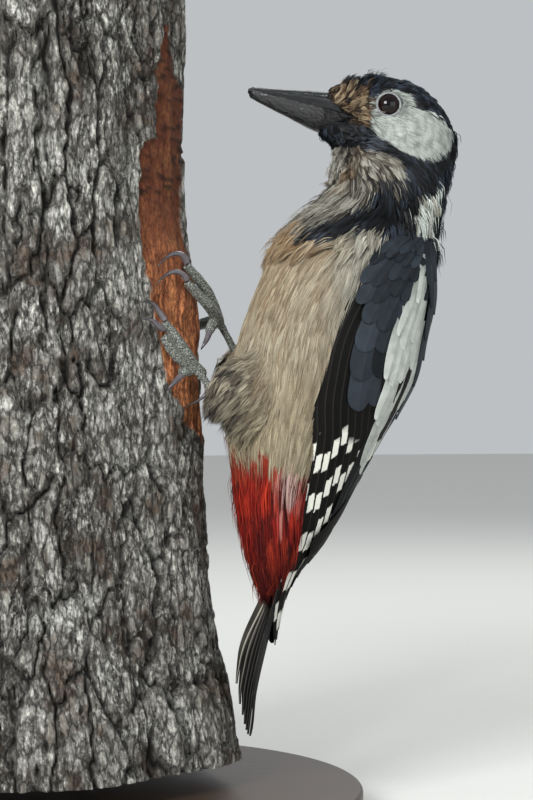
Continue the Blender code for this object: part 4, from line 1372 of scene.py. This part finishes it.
def coverts(vanes, side, rng, colours):
    """Three broad black tertials, then overlapping rows of rounded feathers over the roots of them all."""
    for number, (tip, gap) in enumerate(TERTIALS):
        def lead(height, gap=gap):
            return wing_row(height)[..., 0] + gap

        tone = varied(rng, colours.tertial, 0.2, 0.5, 1.6)
        lift = 0.35 + 0.16 * number
        wing_vane(
            vanes, side, 14.0, tip, lead, 9.5, (lift - 0.5, lift), tone, tip_length=7.0, tip_at=0.5,
            rows=28, soft=True, shaft_tone=0.1,
        )
    for tip, length, width, count, gap, lift, rise in COVERTS:
        for number in range(count):
            spread = gap + number * width * 0.72
            tip_here = tip + rise * number / count + 0.9 * rng.standard_normal()

            def lead(height, spread=spread):
                return behind_front(height, spread) - 1.0

            tone = varied(rng, colours.covert, 0.35, 0.35, 1.9)
            here = lift + 0.05 * number
            wing_vane(
                vanes, side, min(49.0, tip_here + length), tip_here, lead, width, (here - 0.6, here), tone,
                tip_length=width * 0.7, tip_at=0.5, rows=14, soft=True, camber=0.15, shaft_tone=0.05,
                thin=0.75, gloss=0.65,
            )


# White scapulars from the hindmost row up: tip height, degrees round at the tip, root height, degrees there
# and width.
SCAPULARS = (
    (-22.5, 150.0, 2.0, 136.0, 4.6),
    (-20.0, 142.0, 4.0, 129.0, 4.4),
    (-17.0, 157.0, 12.0, 149.0, 3.6),
    (-11.0, 141.0, 16.0, 136.0, 5.0),
    (-8.0, 134.0, 16.0, 129.0, 5.6),
    (-6.0, 128.0, 16.0, 123.0, 5.0),
    (-3.0, 151.0, 24.0, 147.0, 4.0),
    (5.0, 133.0, 28.0, 134.0, 6.0),
    (4.0, 126.0, 28.0, 128.0, 6.4),
    (6.0, 119.0, 28.0, 122.0, 5.0),
    (9.0, 141.0, 30.0, 139.0, 4.6),
    (17.0, 135.0, 40.0, 136.0, 5.6),
    (15.0, 127.0, 38.0, 133.0, 6.2),
    (19.0, 120.0, 36.0, 129.0, 4.6),
    (29.0, 130.0, 44.0, 136.0, 4.6),
)
# Black mantle feathers beside them, in the same terms.
MANTLE = (
    (-6.0, 162.0, 14.0, 160.0, 7.0),
    (4.0, 156.0, 24.0, 154.0, 6.0),
    (12.0, 162.0, 30.0, 160.0, 7.0),
    (18.0, 154.0, 36.0, 150.0, 6.0),
    (26.0, 160.0, 42.0, 156.0, 7.0),
    (28.0, 149.0, 46.0, 145.0, 6.0),
    (34.0, 142.0, 48.0, 140.0, 5.0),
    (36.0, 152.0, 49.0, 149.0, 7.0),
)


def scapulars(vanes, side, rng, colours):
    """The white shoulder patch of long loose vanes, and the black mantle feathers that edge it."""
    whites = [(row, colours.scapular, 0.12) for row in SCAPULARS]
    blacks = [(row, colours.covert, 0.7) for row in MANTLE]
    for number, (row, colour, gloss) in enumerate(whites + blacks):
        tip, low, root, high, width = row

        def lead(height, tip=tip, low=low, root=root, high=high, width=width):
            middle = low + (high - low) * (height - tip) / (root - tip)
            return middle - width / 2 / degree_size(height, SHOULDER_SIDE)

        steps = np.linspace(0.0, 1.0, 24)[:, None, None]
        tone = varied(rng, colour, 0.07, 0.8, 1.15)
        shaded = tone * (0.6 + 0.4 * smooth_step(steps, 0.1, 0.4))
        lift = 0.7 + 0.05 * number
        wing_vane(
            vanes, side, root, tip, lead, width, (lift - 0.5, lift), shaded, tip_length=9.0, tip_at=0.5,
            rows=24, soft=True, camber=0.3, shaft_tone=0.0, gloss=gloss,
        )


class WOODPECKER_OT_wings(bpy.types.Operator):
    """Lay the flight feathers, coverts and white shoulder patches of both wings"""

    bl_idname = "woodpecker.wings"
    bl_label = "Wings"

    def execute(self, context):
        colours = context.scene.woodpecker_wings
        material = flight_feather(colours.spot)
        layers = {"quills": flight_feathers, "coverts": coverts, "scapulars": scapulars}
        for name, side in SIDES.items():
            rng = np.random.default_rng(SEED)
            for layer, lay in layers.items():
                vanes = Vanes(colours)
                lay(vanes, side, rng, colours)
                piece = vanes.piece(f"wing_{name}_{layer}")
                finish_piece(piece, material, "flight_feathers", f"wing_{name}")
        return {"FINISHED"}


# Tail feathers from the middle pair outwards: tip height, place of the tip across, half width, and how much
# grey there is on the under side.
TAIL_PAIRS = (
    (-102.0, 1.6, 3.4, 0.0),
    (-101.0, 3.4, 3.4, 0.0),
    (-99.5, 5.4, 3.4, 0.0),
    (-97.0, 7.6, 3.2, 0.05),
    (-94.0, 10.0, 3.0, 0.3),
    (-88.0, 12.6, 2.6, 0.9),
)


def tail_surface(height, across, grow):
    """Points of the tail, so many millimetres across from its middle."""
    middle, curl, half_width = np.moveaxis(tail_row(height), -1, 0)
    share = across / half_width
    x = middle - curl * share * share + grow
    return np.stack(np.broadcast_arrays(x, across, height), axis=-1)


class WOODPECKER_OT_tail(bpy.types.Operator):
    """Lay the twelve stiff tail feathers, their sides curled towards the trunk"""

    bl_idname = "woodpecker.tail"
    bl_label = "Tail"

    def execute(self, context):
        colours = context.scene.woodpecker_wings
        vanes = Vanes(colours)
        rng = np.random.default_rng(SEED)
        for side in SIDES.values():
            for pair, (tip, place, half_width, grey) in enumerate(TAIL_PAIRS):
                self.feather(vanes, rng, side, pair, tip, place, half_width, grey, colours)
        material = bpy.data.materials["Flight feather vanes"]
        finish_piece(vanes.piece("tail_vanes"), material, "tail_feathers", "tail")
        return {"FINISHED"}

    def feather(self, vanes, rng, side, pair, tip, place, half_width, grey, colours):
        """One stiff vane, tapering to its tip; its under side is paler, with a white shaft."""
        steps = np.linspace(0.0, 1.0, 44)
        heights = -46.0 + (tip + 46.0) * (1 - (1 - steps) ** 1.4)
        narrow = np.maximum(np.clip(np.abs(heights - tip) / 30.0, 0.0, 1.0) ** 0.8, 0.05)
        shift = (ACROSS - SHAFT_AT) * 2
        middle = side * place * (0.25 + 0.75 * smooth_step(-heights, 50.0, 80.0))
        across = middle[:, None] + shift[None, :] * half_width * narrow[:, None] * side
        shaft = np.exp(-((shift * half_width / 0.28) ** 2))[None, :]
        level = np.broadcast_to(heights[:, None], across.shape)
        bowed = 0.5 - 0.2 * pair - 0.12 * shift[None, :] ** 2
        top = tail_surface(level, across, bowed + 0.2 * shaft)
        bottom = tail_surface(level, across, bowed - vanes.thickness - 0.25 * shaft)
        tone = varied(rng, colours.tail_black, 0.15, 0.6, 1.5)
        under = tone + (np.array(colours.tail_grey) - tone) * grey
        bar = 0.5 + 0.5 * np.sin(level * 0.42 + pair)
        mottled = under[None, None, :] * (1 - 0.5 * (bar * (pair >= 4))[:, :, None])
        pale = np.stack([shaft * 0.2, shaft * (0.3 + 4.5 * grey)]) * np.ones((2, len(steps), 1))
        vanes.add(
            top, bottom, tone, np.abs(across - middle[:, None]), level * 0, level - tip, 0.0, pale,
            under=mottled, gloss=0.35,
        )


# ---- bill, eyes, feet and claws


def refined(name, node, levels):
    """A finer copy of a CAD node."""
    piece = merged_copy(name, node)
    add_modifier(piece, "SUBSURF", levels=levels, render_levels=levels)
    apply_all(piece)
    piece.data.shade_smooth()
    return piece


# Half of the gap along the gape.
GAPE_GAP = 0.13
# The groove's place on the upper half, as a share of its height, and how far it cuts into the width.
GROOVE_AT = 0.62
GROOVE_DEPTH = 0.22


def bill_half(half):
    """One half of the bill: a ring of points at each of many places along it, closed at both ends."""
    ahead = np.linspace(BILL[0][0], BILL[-1][0], 90)
    ridge, gape, keel, half_width = np.moveaxis(bill_row(ahead), -1, 0)
    reach = ridge if half == "upper" else keel
    sign = 1.0 if half == "upper" else -1.0
    turn = np.linspace(0.0, math.pi, 33)
    side = np.cos(turn)
    height = np.maximum(np.sin(turn), 0.0) ** 1.15
    # A groove runs from the nostril along the upper half, with a sharp ridge over it.
    groove = np.exp(-(((height - GROOVE_AT) / 0.1) ** 2)) * (GROOVE_DEPTH if half == "upper" else 0.0)
    fade = (1 - smooth_step(ahead, 34.0, 42.0))[:, None]
    left = half_width[:, None] * (side * (1 - 0.25 * height))[None, :]
    left = left * (1 - groove[None, :] * fade)
    left = left + np.sign(side)[None, :] * 0.16 * np.exp(-((height / 0.1) ** 2))[None, :] * fade
    up = gape[:, None] + (reach - gape)[:, None] * height[None, :] + sign * GAPE_GAP
    rounded = 1 - 0.55 * smooth_step(ahead, 45.6, 46.9)[:, None]
    left = left * rounded
    up = gape[:, None] + (up - gape[:, None]) * rounded
    flat_left = np.linspace(-1.0, 1.0, 11)[1:-1] * (half_width * rounded[:, 0])[:, None]
    flat_up = np.repeat(gape[:, None] + sign * GAPE_GAP, flat_left.shape[1], axis=1)
    left, up = np.hstack([left, flat_left]), np.hstack([up, flat_up])
    rows, columns = left.shape
    forward = np.repeat(ahead[:, None], columns, axis=1)
    points = np.array(HEAD_AT) + np.stack([forward, up, left], axis=-1) @ HEAD_AXES
    ends = points[[0, -1]].mean(axis=1)
    grid = np.arange(rows * columns).reshape(rows, columns)
    beside = np.roll(grid, -1, axis=1)
    wall = np.stack([grid[:-1], beside[:-1], beside[1:], grid[1:]], axis=-1).reshape(-1, 4)
    first, last = grid[0], grid[-1]
    back = np.stack([np.roll(first, -1), first, np.full(columns, rows * columns)], axis=-1)
    front = np.stack([last, np.roll(last, -1), np.full(columns, rows * columns + 1)], axis=-1)
    return np.concatenate([points.reshape(-1, 3), ends]), [wall, np.concatenate([back, front])]


def turn_outward(mesh):
    """Makes every normal face outward."""
    shape = bmesh.new()
    shape.from_mesh(mesh)
    bmesh.ops.recalc_face_normals(shape, faces=shape.faces)
    shape.to_mesh(mesh)
    shape.free()


class WOODPECKER_OT_bill(bpy.types.Operator):
    """Make the two halves of the chisel-shaped bill"""

    bl_idname = "woodpecker.bill"
    bl_label = "Bill"

    def execute(self, context):
        material = bill_horn(context.scene.woodpecker_hard_parts.horn)
        for half in ("upper", "lower"):
            points, faces = bill_half(half)
            wear = noise_at(points, 2.2, 4.0) * 0.06
            mesh, _ = mesh_from(f"bill_{half}_horn", points, faces)
            move_points(mesh, points + points_of(mesh, "normal") * wear[:, None])
            turn_outward(mesh)
            mesh.set_sharp_from_angle(angle=math.radians(50.0))
            finish_piece(new_object(f"bill_{half}_horn", mesh), material, "bill_horn", f"bill_{half}")
        return {"FINISHED"}


class WOODPECKER_OT_eyes(bpy.types.Operator):
    """Make the eyes and their bare lids"""

    bl_idname = "woodpecker.eyes"
    bl_label = "Eyes"

    def execute(self, context):
        colours = context.scene.woodpecker_hard_parts
        eye_finish = wet_eye(colours.iris)
        lid_finish = bare_skin("Bare eyelid", colours.lid, linear("#4C4E50"), 2200.0, 0.1)
        for name, side in SIDES.items():
            low, high = node_corners(f"eye_{name}")
            middle = (low + high) / 2
            outward = HEAD_AXES[2] * -side
            deselect()
            bpy.ops.mesh.primitive_uv_sphere_add(
                segments=64, ring_count=32, radius=(EYE_RADIUS - 0.05) * MM, location=Vector(middle) * MM
            )
            ball = bpy.context.object
            ball.name = f"eyeball_{name}"
            bpy.ops.object.transform_apply()
            bpy.ops.object.shade_smooth()
            offset = points_of(ball.data) + HOME - middle
            along = offset @ outward
            radial = np.linalg.norm(offset - along[:, None] * outward, axis=1)
            set_attribute(ball.data, "iris", np.where(along > 0, radial / EYE_RADIUS, 1.0))
            finish_piece(ball, eye_finish, "eye", f"eye_{name}")
            self.lid(name, middle, outward, lid_finish)
        return {"FINISHED"}

    def lid(self, name, middle, outward, finish):
        """A thin rim round the opening, a little drawn out towards bill and nape."""
        rise = math.sqrt(EYE_RADIUS**2 - EYE_OPENING**2) + 0.02
        facing = Vector(outward).to_track_quat("Z", "Y")
        deselect()
        bpy.ops.mesh.primitive_torus_add(
            major_segments=96, minor_segments=12,
            major_radius=LID_RADIUS * MM, minor_radius=LID_THICKNESS * MM,
            location=Vector(middle + outward * rise) * MM, rotation=facing.to_euler(),
        )
        ring = bpy.context.object
        ring.name = f"eyelid_{name}"
        bpy.ops.object.transform_apply()
        bpy.ops.object.shade_smooth()
        points = points_of(ring.data)
        offset = points + HOME - middle
        ahead = offset @ HEAD_AXES[0]
        stretch = 0.1 * np.sign(ahead) * smooth_step(np.abs(ahead), 2.0, 3.8)
        points = points + HEAD_AXES[0] * stretch[:, None]
        angle = np.arctan2(offset @ HEAD_AXES[1], ahead)
        points = points + outward * (0.06 * np.sin(angle * 44.0))[:, None]
        move_points(ring.data, points)
        finish_piece(ring, finish, "foot_skin", f"eye_{name}")


FOOT_VOXEL = 0.3
# How far a claw's root is drawn out towards its toe.
CLAW_ROOT = 1.3


class WOODPECKER_OT_feet(bpy.types.Operator):
    """Make the scaly shanks and toes, and the eight claws"""

    bl_idname = "woodpecker.feet"
    bl_label = "Feet"

    def execute(self, context):
        colours = context.scene.woodpecker_hard_parts
        scales = bare_skin("Scaled foot skin", colours.foot, colours.foot_gap, 1400.0, 0.3)
        horn = claw_horn(colours.claw)
        for side in SIDES:
            foot = merged_copy(f"scaly_foot_{side}", f"foot_{side}")
            add_modifier(foot, "REMESH", mode="VOXEL", voxel_size=FOOT_VOXEL * MM)
            add_modifier(foot, "SMOOTH", iterations=3, factor=0.5)
            apply_all(foot)
            points = points_of(foot.data)
            ripple = noise_at(points * (1.0, 1.0, 2.2), 1.1, 5.0) * 0.14
            move_points(foot.data, points + points_of(foot.data, "normal") * ripple[:, None])
            foot.data.shade_smooth()
            finish_piece(foot, scales, "foot_skin", f"foot_{side}")
            for toe in range(1, 5):
                claw = refined(f"hooked_claw_{side}_{toe}", f"claw_{side}_{toe}", 2)
                bent = points_of(claw.data)
                found = nearest_of(points, bent)
                reach = np.array([far for _, _, far in found])
                root = reach.argmin()
                into = unit(np.array(found[root][0]) - bent[reach < reach.min() + 2.5].mean(axis=0))
                rooted = 1 - smooth_step(reach, reach.min() + 0.3, reach.min() + 3.0)
                move_points(claw.data, bent + into * (CLAW_ROOT * rooted)[:, None])
                set_attribute(claw.data, "tip", reach / reach.max())
                finish_piece(claw, horn, "claw_horn", f"claw_{side}_{toe}")
        return {"FINISHED"}


# ---- perch, stand and stage

PERCH_BOTTOM = -110.4
PERCH_LEAN = -0.045
PERCH_ROWS = 230
# The strip of inner bark laid bare: height, and its two edges in degrees round from the side that faces
# the bird, towards the bird's left.
BARE_STRIP = (
    (114.0, 27.0, 31.0),
    (99.0, 25.0, 33.0),
    (92.0, 15.0, 34.0),
    (79.0, 15.0, 34.0),
    (75.0, 19.0, 41.0),
    (50.0, 21.0, 43.0),
    (30.0, 15.0, 41.0),
    (6.0, 10.0, 36.0),
    (-6.0, 12.0, 28.0),
    (-14.0, 15.0, 17.0),
)
MILLIMETRES_PER_DEGREE = 0.94


def bare_bark(points, wrap):
    """1 where the outer bark is torn away, with a ragged edge."""
    table = np.array(sorted(BARE_STRIP))
    low = np.interp(points[:, 2], table[:, 0], table[:, 1])
    high = np.interp(points[:, 2], table[:, 0], table[:, 2])
    depth = np.minimum(wrap - low, high - wrap) * MILLIMETRES_PER_DEGREE
    depth = np.minimum(depth, np.minimum(points[:, 2] - table[0, 0], table[-1, 0] - points[:, 2]))
    depth = depth + 2.2 * noise_at(points * (1.0, 1.0, 0.6), 9.0, 21.0) + 1.4 * noise_at(points, 3.0, 6.0)
    scar = 3.5 - np.hypot((wrap - 99.0) * MILLIMETRES_PER_DEGREE, (points[:, 2] - 112.0) * 0.3)
    depth = np.maximum(depth, scar + 1.5 * noise_at(points, 4.0, 2.0))
    return smooth_step(depth, -0.3, 0.5)


def bark_relief(points, settings):
    """How deep each point lies under the bark's outline, how much of a crack it is in, and how light its
    flake is. Plates are split by long cracks, and each is built of thin flakes at different levels."""
    width = settings.plate_width / MM
    depth = settings.furrow_depth / MM
    # Noise vectors differ on each run unless they are seeded.
    noise.seed_set(SEED)
    rows = []
    for x, y, z in points:
        place = Vector((x, y, z * 0.5))
        warp = noise.noise_vector(place / 9.0) * 4.0 + noise.noise_vector(place / 2.6) * 1.5
        spot = Vector((x, y, z * 0.3)) + warp
        plate, sites = noise.voronoi(spot / width)
        flake, chips = noise.voronoi((spot + warp * 0.5) / (width * 0.36))
        rows.append((
            plate[1] - plate[0],
            flake[1] - flake[0],
            noise.noise(sites[0] * 5.3),
            noise.noise(chips[0] * 4.7),
            noise.fractal(place / 4.0, 0.7, 2.2, 4),
        ))
    plate, flake, plate_tone, flake_tone, rough = np.array(rows).T
    long_crack = (
        1 - smooth_step(plate + rough * 0.04, 0.0, 0.16)
    ) * smooth_step(plate_tone + rough, -0.7, 0.1)
    short_crack = (1 - smooth_step(flake, 0.0, 0.14)) * 0.55
    sink = depth * long_crack + 0.35 * short_crack
    sink = sink + 0.7 - 0.7 * plate_tone - 0.9 * flake_tone - 0.35 * rough.clip(-1.0, 1.0)
    crack = np.maximum(long_crack, short_crack)
    return crack, sink.clip(0.0, 4.5), 0.5 + 0.45 * flake_tone + 0.35 * plate_tone + 0.2 * rough


class WOODPECKER_OT_perch(bpy.types.Operator):
    """Make the cut length of trunk with its plated bark and sawn ends"""

    bl_idname = "woodpecker.perch"
    bl_label = "Perch"

    def execute(self, context):
        settings = context.scene.woodpecker_perch
        source = merged_copy("perch_outline", "perch_trunk")
        outline = BVHTree.FromPolygons(
            [Vector(point) for point in points_of(source.data)],
            [polygon.vertices[:] for polygon in source.data.polygons],
        )
        bpy.data.objects.remove(source)
        rows = PERCH_ROWS
        heights = np.linspace(PERCH_BOTTOM + 0.05, PERCH_TOP - 0.05, rows)
        # Columns stand closer on the side towards the bird and its left.
        dense = int(settings.columns * 0.66)
        degrees = np.concatenate([
            np.linspace(-15.0, 145.0, dense, endpoint=False),
            np.linspace(145.0, 345.0, settings.columns - dense, endpoint=False),
        ])
        columns = len(degrees)
        ways = np.stack([np.cos(np.radians(degrees)), -np.sin(np.radians(degrees)), 0 * degrees], axis=1)
        middles = PERCH_MIDDLE + np.stack([PERCH_LEAN * (heights - 30.0), 0 * heights, heights], axis=1)
        flat = np.array([
            outline.ray_cast(Vector(middle + way * 90.0), Vector(-way))[0]
            for middle in middles
            for way in ways
        ])
        crack, sink, tone = bark_relief(flat, settings)
        wrap = np.tile((degrees + 180.0) % 360.0 - 180.0, rows)
        bare = bare_bark(flat, wrap)
        free = smooth_step(self.from_feet(flat), 1.6, 6.5)
        grain = 0.35 * noise_at(flat * (1.0, 1.0, 0.16), 1.6, 9.0)
        ridges = noise_at(flat * (0.45, 0.45, 1.0), 2.0, 4.0) * smooth_step(flat[:, 2], 48.0, 66.0)
        grain = grain + 0.8 * ridges
        sink = sink * (1 - bare) + (1.5 + grain) * bare
        sink = sink * free + 0.2 * (1 - free)
        flat = flat - np.tile(ways, (rows, 1)) * sink[:, None]
        # Low down the bare wood's flakes are painted lighter, as painted light.
        tone = tone * (1 - bare) + bare * 1.3 * smooth_step(-flat[:, 2], -75.0, -20.0)
        # Marks the cracks, and the grooves between ridges of the bare wood, for painted shade.
        furrow_shade = np.maximum(crack * (1 - bare * 0.8), bare * smooth_step(-ridges, 0.0, 0.4) * 0.85) * free
        values = {"furrow_shade": furrow_shade, "inner_bark": bare, "flake": tone}
        self.build(flat, rows, columns, middles, values, settings)
        return {"FINISHED"}

    def from_feet(self, points):
        """How far each point is from the nearest toe or claw."""
        nodes = [f"foot_{side}" for side in SIDES]
        nodes += [f"claw_{side}_{toe}" for side in SIDES for toe in range(1, 5)]
        feet = np.concatenate([points_of(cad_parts[node].data)[::3] for node in nodes])
        return np.array([far for _, _, far in nearest_of(feet, points)])

    def build(self, flat, rows, columns, middles, values, settings):
        """Joins the bark's grid to its two sawn ends, which step in through rings to the middle."""
        grid = np.arange(rows * columns).reshape(rows, columns)
        beside = np.roll(grid, -1, axis=1)
        wall = np.stack([grid[:-1], grid[1:], beside[1:], beside[:-1]], axis=-1).reshape(-1, 4)
        points, faces, tris = [flat], [wall], []
        sawn, rings = [np.zeros(len(flat))], [np.zeros(len(flat))]
        total = len(flat)
        for end, row in ((0, grid[0]), (1, grid[-1])):
            middle = middles[-1 if end else 0]
            rim = flat[row]
            previous = row
            for share in (1.0, 0.93, 0.6, 0.3):
                ring = middle + (rim - middle) * share
                ring[:, 2] = middle[2]
                points.append(ring)
                here = np.arange(total, total + columns)
                total += columns
                sawn.append(np.full(columns, 0.0 if share > 0.95 else 1.0))
                rings.append(np.linalg.norm(ring - middle, axis=1))
                quads = np.stack([previous, np.roll(previous, -1), np.roll(here, -1), here], axis=-1)
                faces.append(quads)
                previous = here
            points.append(middle[None])
            tris.append(np.stack([previous, np.roll(previous, -1), np.full(columns, total)], axis=-1))
            sawn.append(np.ones(1))
            rings.append(np.zeros(1))
            total += 1
        mesh, _ = mesh_from(
            "bark_trunk", np.concatenate(points), [np.concatenate(faces), np.concatenate(tris)]
        )
        spare = np.zeros(total - len(flat))
        for name, value in values.items():
            set_attribute(mesh, name, np.concatenate([value, spare]))
        set_attribute(mesh, "sawn", np.concatenate(sawn))
        set_attribute(mesh, "rings", np.concatenate(rings))
        turn_outward(mesh)
        mesh.set_sharp_from_angle(angle=math.radians(48.0))
        finish_piece(new_object("bark_trunk", mesh), pine_bark(settings), "bark", "perch_trunk")


def turned_piece(name, node, vertices, rounding, segments):
    """A cylinder of a CAD node's size, with its rims rounded over."""
    low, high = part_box(node)
    deselect()
    bpy.ops.mesh.primitive_cylinder_add(
        vertices=vertices, radius=(high.x - low.x) / 2, depth=high.z - low.z, location=(low + high) / 2
    )
    piece = bpy.context.object
    piece.name = name
    bpy.ops.object.transform_apply()
    bpy.ops.object.mode_set(mode="EDIT")
    bpy.ops.mesh.select_all(action="DESELECT")
    shape = bmesh.from_edit_mesh(piece.data)
    for edge in shape.edges:
        if edge.calc_face_angle(0.0) > math.radians(60.0):
            edge.select = True
    bmesh.update_edit_mesh(piece.data)
    bpy.ops.mesh.select_mode(type="EDGE")
    bpy.ops.mesh.bevel(offset=rounding * MM, segments=segments, affect="EDGES")
    bpy.ops.object.mode_set(mode="OBJECT")
    bpy.ops.object.shade_smooth_by_angle(angle=math.radians(35.0))
    return piece


class WOODPECKER_OT_stand(bpy.types.Operator):
    """Make the turned base and the two steel rods"""

    bl_idname = "woodpecker.stand"
    bl_label = "Stand"

    def execute(self, context):
        settings = context.scene.woodpecker_perch
        base = turned_piece("turned_base", "stand_base", 160, 1.6, 4)
        finish_piece(base, stained_wood(settings.stand), "stand_wood", "stand_base")
        steel = brushed_steel(settings.steel)
        for number in (1, 2):
            rod = turned_piece(f"steel_rod_{number}", f"stand_rod_{number}", 48, 0.4, 2)
            finish_piece(rod, steel, "stand_steel", f"stand_rod_{number}")
        return {"FINISHED"}


VIEW_AZIMUTH = math.radians(-12.0)
VIEW_DISTANCE = 0.62
VIEW_HEIGHT = 0.244
SENSOR = 36.0


def add_light(name, place, target, size, power):
    """A soft square lamp that faces the target."""
    data = bpy.data.lights.new(name, "AREA")
    data.size = size
    data.energy = power
    lamp = new_object(name, data)
    lamp.location = target + Vector(place)
    lamp.rotation_euler = (-Vector(place)).to_track_quat("-Z", "Y").to_euler()


class WOODPECKER_OT_stage(bpy.types.Operator):
    """Set out floor, backdrop, lamps and camera"""

    bl_idname = "woodpecker.stage"
    bl_label = "Stage"

    def execute(self, context):
        target = Vector(HOME) * MM
        deselect()
        bpy.ops.mesh.primitive_plane_add(size=8.0, location=(0.0, 0.0, 0.0))
        floor = bpy.context.object
        floor.name = "floor"
        floor.data.materials.append(studio_paper())
        add_light("key", (-0.75, -0.85, 0.5), target, 0.45, 18.0)
        add_light("fill", (0.5, -0.95, 0.1), target, 0.9, 5.5)
        add_light("back", (0.5, 0.7, 0.8), target, 0.6, 5.0)
        world = bpy.data.worlds.new("Studio")
        world.use_nodes = True
        background = world.node_tree.nodes["Background"]
        set_inputs(world.node_tree, background, {"Color": linear("#EDF1F4"), "Strength": 0.6})
        context.scene.world = world
        data = bpy.data.cameras.new("camera")
        data.sensor_width = SENSOR
        data.lens = SENSOR * VIEW_DISTANCE / VIEW_HEIGHT
        camera = new_object("camera", data)
        away = Vector((math.sin(VIEW_AZIMUTH), -math.cos(VIEW_AZIMUTH), 0.0))
        camera.location = target + away * VIEW_DISTANCE
        camera.rotation_euler = (-away).to_track_quat("-Z", "Y").to_euler()
        context.scene.camera = camera
        context.scene.view_settings.view_transform = "Standard"
        return {"FINISHED"}


# ---- the add-on

OPERATORS = (
    WOODPECKER_OT_skin,
    WOODPECKER_OT_coat,
    WOODPECKER_OT_wings,
    WOODPECKER_OT_tail,
    WOODPECKER_OT_bill,
    WOODPECKER_OT_eyes,
    WOODPECKER_OT_feet,
    WOODPECKER_OT_perch,
    WOODPECKER_OT_stand,
    WOODPECKER_OT_stage,
)


class WOODPECKER_PT_panel(bpy.types.Panel):
    """Lists the pieces of the woodpecker"""

    bl_label = "Woodpecker"
    bl_space_type = "VIEW_3D"
    bl_region_type = "UI"
    bl_category = "Woodpecker"

    def draw(self, context):
        for operator in OPERATORS:
            self.layout.operator(operator.bl_idname)


SETTINGS = {
    "woodpecker_plumage": WoodpeckerPlumage,
    "woodpecker_wings": WoodpeckerWings,
    "woodpecker_hard_parts": WoodpeckerHardParts,
    "woodpecker_perch": WoodpeckerPerch,
}


def register():
    for name, group in SETTINGS.items():
        bpy.utils.register_class(group)
        setattr(bpy.types.Scene, name, PointerProperty(type=group))
    for made in (*OPERATORS, WOODPECKER_PT_panel):
        bpy.utils.register_class(made)


def unregister():
    for made in (WOODPECKER_PT_panel, *reversed(OPERATORS)):
        bpy.utils.unregister_class(made)
    for name, group in SETTINGS.items():
        delattr(bpy.types.Scene, name)
        bpy.utils.unregister_class(group)


def main():
    register()
    for step in ("skin", "coat", "wings", "tail", "bill", "eyes", "feet", "perch", "stand", "stage"):
        getattr(bpy.ops.woodpecker, step)()


if __name__ == "__main__":
    main()
